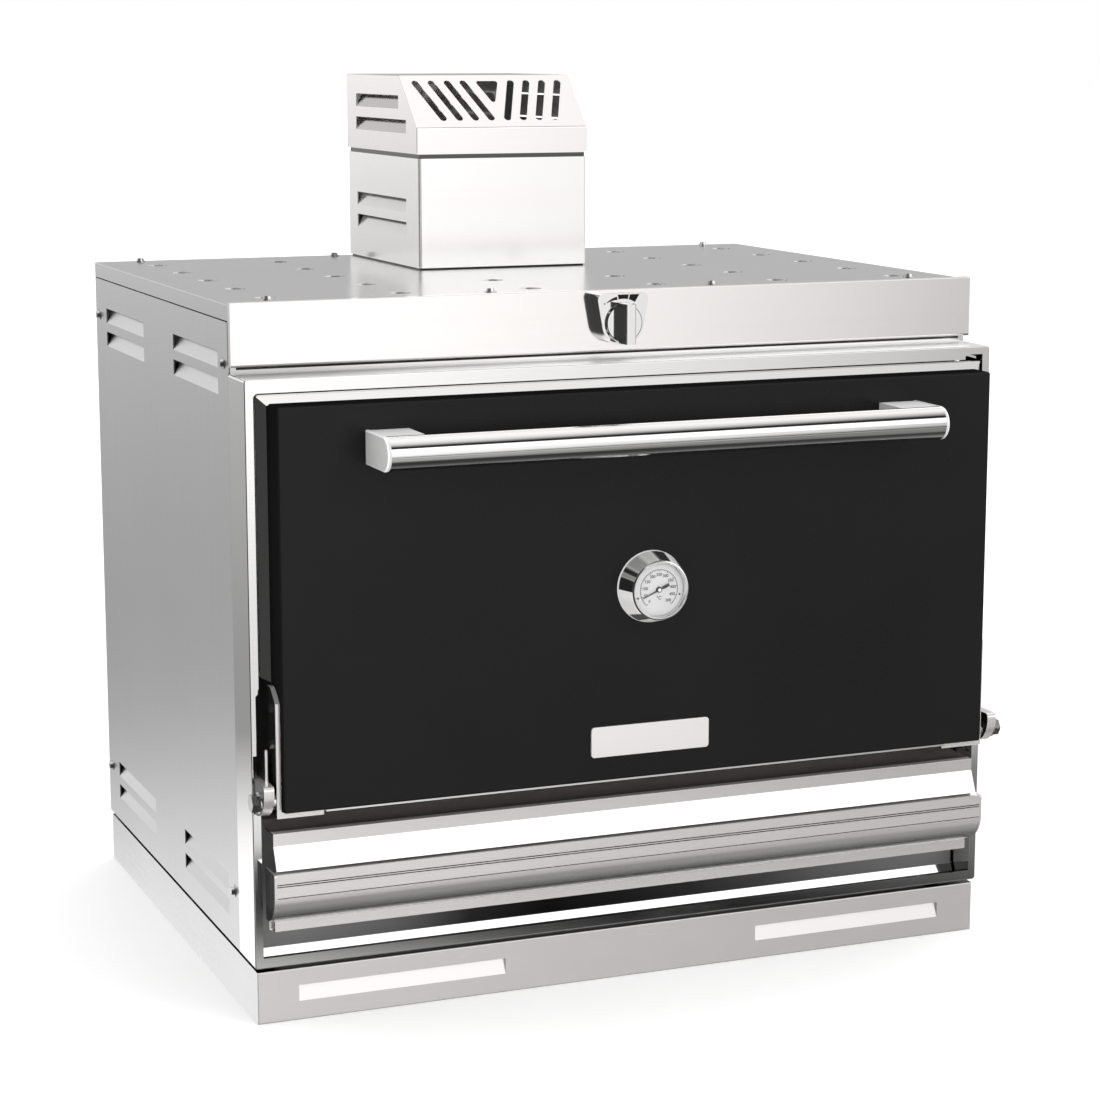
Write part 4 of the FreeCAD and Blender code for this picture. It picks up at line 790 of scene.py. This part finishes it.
plate(bm, arc_band(KX, KZ, 131, 105, lambda t: 0.0319 - 0.0033 * t, lambda t: 0.0328 - 0.0002 * t, 12), KY, 0.00012)
plate(bm, arc_band(KX, KZ, 102, 78, lambda t: 0.0287, lambda t: line_top(102 - 24 * t), 12), KY, 0.00012)
plate(bm, arc_band(KX, KZ, 75.5, 58, lambda t: 0.0287, lambda t: line_top(75.5 - 17.5 * t), 12), KY, 0.00012)
plate(bm, [(polar(*polar(KX, KZ, 0.0336, 136), 0.0009, 24 * i)) for i in range(15)], KY, 0.00012)
knob_scale = mesh_object("knob_scale", bm, scale_m, "oven_body")

# ---------------------------------------------------------------- floor
bm = bmesh.new()
bmesh.ops.create_grid(bm, x_segments=8, y_segments=8, size=60.0)
me = bpy.data.meshes.new("floor")
bm.to_mesh(me)
bm.free()
floor = bpy.data.objects.new("floor", me)
scene.collection.objects.link(floor)
floor.location = (0, 0, -0.0002)
m, net, sh = material("floor_pale")
mott = net.noise(net.coords((1.5, 1.5, 1.5)), 1.0, 3.0, 0.5)
net.put(sh, "Base Color", net.mix(net.span(mott, 0.3, 0.7), (0.95, 0.95, 0.945, 1), (0.97, 0.97, 0.97, 1)))
sh.inputs["Roughness"].default_value = 0.9
sh.inputs["Specular IOR Level"].default_value = 0.0
sh.inputs["Emission Color"].default_value = (1, 1, 1, 1)
sh.inputs["Emission Strength"].default_value = 0.12
floor.data.materials.append(m)
floor.visible_glossy = False

# ---------------------------------------------------------------- studio
world = bpy.data.worlds.new("studio")
scene.world = world
world.use_nodes = True
net = Net(world.node_tree)
tc = net.add("ShaderNodeTexCoord")
sep = net.add("ShaderNodeSeparateXYZ")
net.put(sep, 0, tc.outputs["Generated"])
X, YY, Z = sep.outputs
el = net.math("MULTIPLY", net.math("ARCSINE", Z), 57.29578)
az_f = net.math("MULTIPLY", net.math("ARCTAN2", X, net.math("MULTIPLY", YY, -1.0)), 57.29578)
az_b = net.math("MULTIPLY", net.math("ARCTAN2", X, YY), 57.29578)


def window(v, lo, hi, soft):
    up = net.smooth(v, lo - soft, lo + soft)
    dn = net.smooth(v, hi - soft, hi + soft, 1.0, 0.0)
    return net.math("MULTIPLY", up, dn)


def panel(col, value, az, a0, a1, e0, e1, sa, se):
    mask = net.math("MULTIPLY", window(az, a0, a1, sa), window(el, e0, e1, se))
    return net.lerp(mask, col, value)




def curve(v, lo, hi, stops):
    """Piecewise-linear value of v, given as (position, value) pairs."""
    n = net.add("ShaderNodeValToRGB")
    top = max(y for x, y in stops)
    n.color_ramp.interpolation = "LINEAR"
    e = n.color_ramp.elements
    while len(e) < len(stops):
        e.new(0.5)
    for i, (x, y) in enumerate(stops):
        e[i].position = (x - lo) / (hi - lo)
        e[i].color = (y / top, y / top, y / top, 1.0)
    net.put(n, 0, net.span(v, lo, hi))
    return net.math("MULTIPLY", n.outputs[0], top)


# in front: a wide softbox, dark floor under its slanting lower edge, a dark gap over it, a ceiling that brightens upwards
turn = net.math("MINIMUM", net.math("MAXIMUM", az_f, -10.0), 60.0)
low = net.math("SUBTRACT", el, net.math("MULTIPLY", net.math("SUBTRACT", turn, 15.7), 0.138))
box = curve(low, -90.0, 90.0, [(-90, 1.12), (-16.0, 1.12), (-15.6, 1.08), (-14.2, 0.97), (-12.4, 1.06), (-10.7, 1.19), (-8.9, 1.39), (-7.3, 1.50), (90, 1.50)])
gap = net.math("ADD", el, net.math("ADD", 17.54, net.math("MULTIPLY", net.math("SUBTRACT", turn, 15.7), 0.04)))
ground = curve(gap, -75.0, 75.0, [(-75, 0.12), (-42.5, 0.12), (-31.5, 0.13), (-26.5, 0.55), (-13.5, 0.78), (-12.1, 0.35), (-11.1, 0.35), (-9.5, 0.80), (-2.5, 0.85),
                                  (-1.7, 0.80), (-1.24, 0.63), (-1.0, 0.42), (-0.83, 0.29), (-0.67, 0.18), (-0.5, 0.10), (-0.34, 0.05), (-0.17, 0.013), (0.0, 0.005),
                                  (0.33, 0.03), (0.8, 0.05), (1.05, 0.17), (1.5, 0.35), (2.0, 0.50), (6.0, 0.60), (75, 0.60)])
under = net.lerp(net.smooth(low, -16.78, -16.30), ground, box)
over = curve(el, -90.0, 90.0, [(-90, 1.0), (33.5, 1.0), (36, 0.013), (45, 0.013), (50, 0.15), (60, 0.47), (75, 0.74), (85, 0.87), (90, 0.80)])
fore = net.math("MULTIPLY", under, over)
fade = curve(az_f, -180.0, 180.0, [(-180, 0.7), (-100, 0.7), (-60, 0.8), (15.0, 0.80), (18.8, 0.735), (22.1, 0.65), (25.3, 0.575), (28.4, 0.485), (30.7, 0.38),
                                   (38, 0.32), (60, 0.45), (90, 0.7), (180, 0.7)])
fore = net.math("MULTIPLY", fore, net.lerp(net.smooth(el, 3.0, 14.0, 1.0, 0.0), 1.0, fade))
fore = panel(fore, 0.05, az_f, -105.0, -3.0, -60.0, 33.0, 5.0, 4.0)
# behind on the left, and behind on the right
rear_l = curve(el, -90.0, 90.0, [(-90, 0.30), (-45, 0.50), (-25, 0.90), (-19, 1.15), (-16.5, 1.15), (-15.2, 0.65), (-14.1, 0.33), (-12.4, 0.33), (-9.7, 0.40), (-7.2, 0.46),
                                 (-3, 0.70), (0, 0.98), (6, 1.05), (9, 0.85), (13, 0.55), (25, 0.50), (45, 0.80), (90, 1.2)])
rear_r = curve(el, -90.0, 90.0, [(-90, 0.10), (-45, 0.30), (-20, 0.45), (0, 0.50), (10, 0.52), (25, 0.70), (45, 1.0), (90, 1.2)])
rear = net.lerp(net.smooth(az_b, -6.0, 8.0), rear_l, rear_r)
env = net.lerp(net.smooth(YY, -0.25, 0.25), fore, rear)

lp = net.add("ShaderNodeLightPath")
soft = net.lerp(lp.outputs["Is Glossy Ray"], 1.28, env)
seen = net.lerp(lp.outputs["Is Camera Ray"], soft, 1.0)
bg = net.add("ShaderNodeBackground")
comb = net.add("ShaderNodeCombineColor")
for i in range(3):
    net.put(comb, i, seen)
net.put(bg, "Color", comb.outputs[0])
bg.inputs["Strength"].default_value = 1.0
out = net.add("ShaderNodeOutputWorld")
net.t.links.new(bg.outputs[0], out.inputs[0])
world.cycles.sampling_method = "NONE"

key = bpy.data.lights.new("key", "AREA")
key.shape = "RECTANGLE"
key.size, key.size_y = 2.4, 1.6
key.energy = 26.0
ko = bpy.data.objects.new("key", key)
scene.collection.objects.link(ko)
ko.location = (2.2, -3.0, 2.6)
ko.rotation_euler = (Vector((0, 0, 0.45)) - ko.location).to_track_quat("-Z", "Y").to_euler()
ko.visible_glossy = False
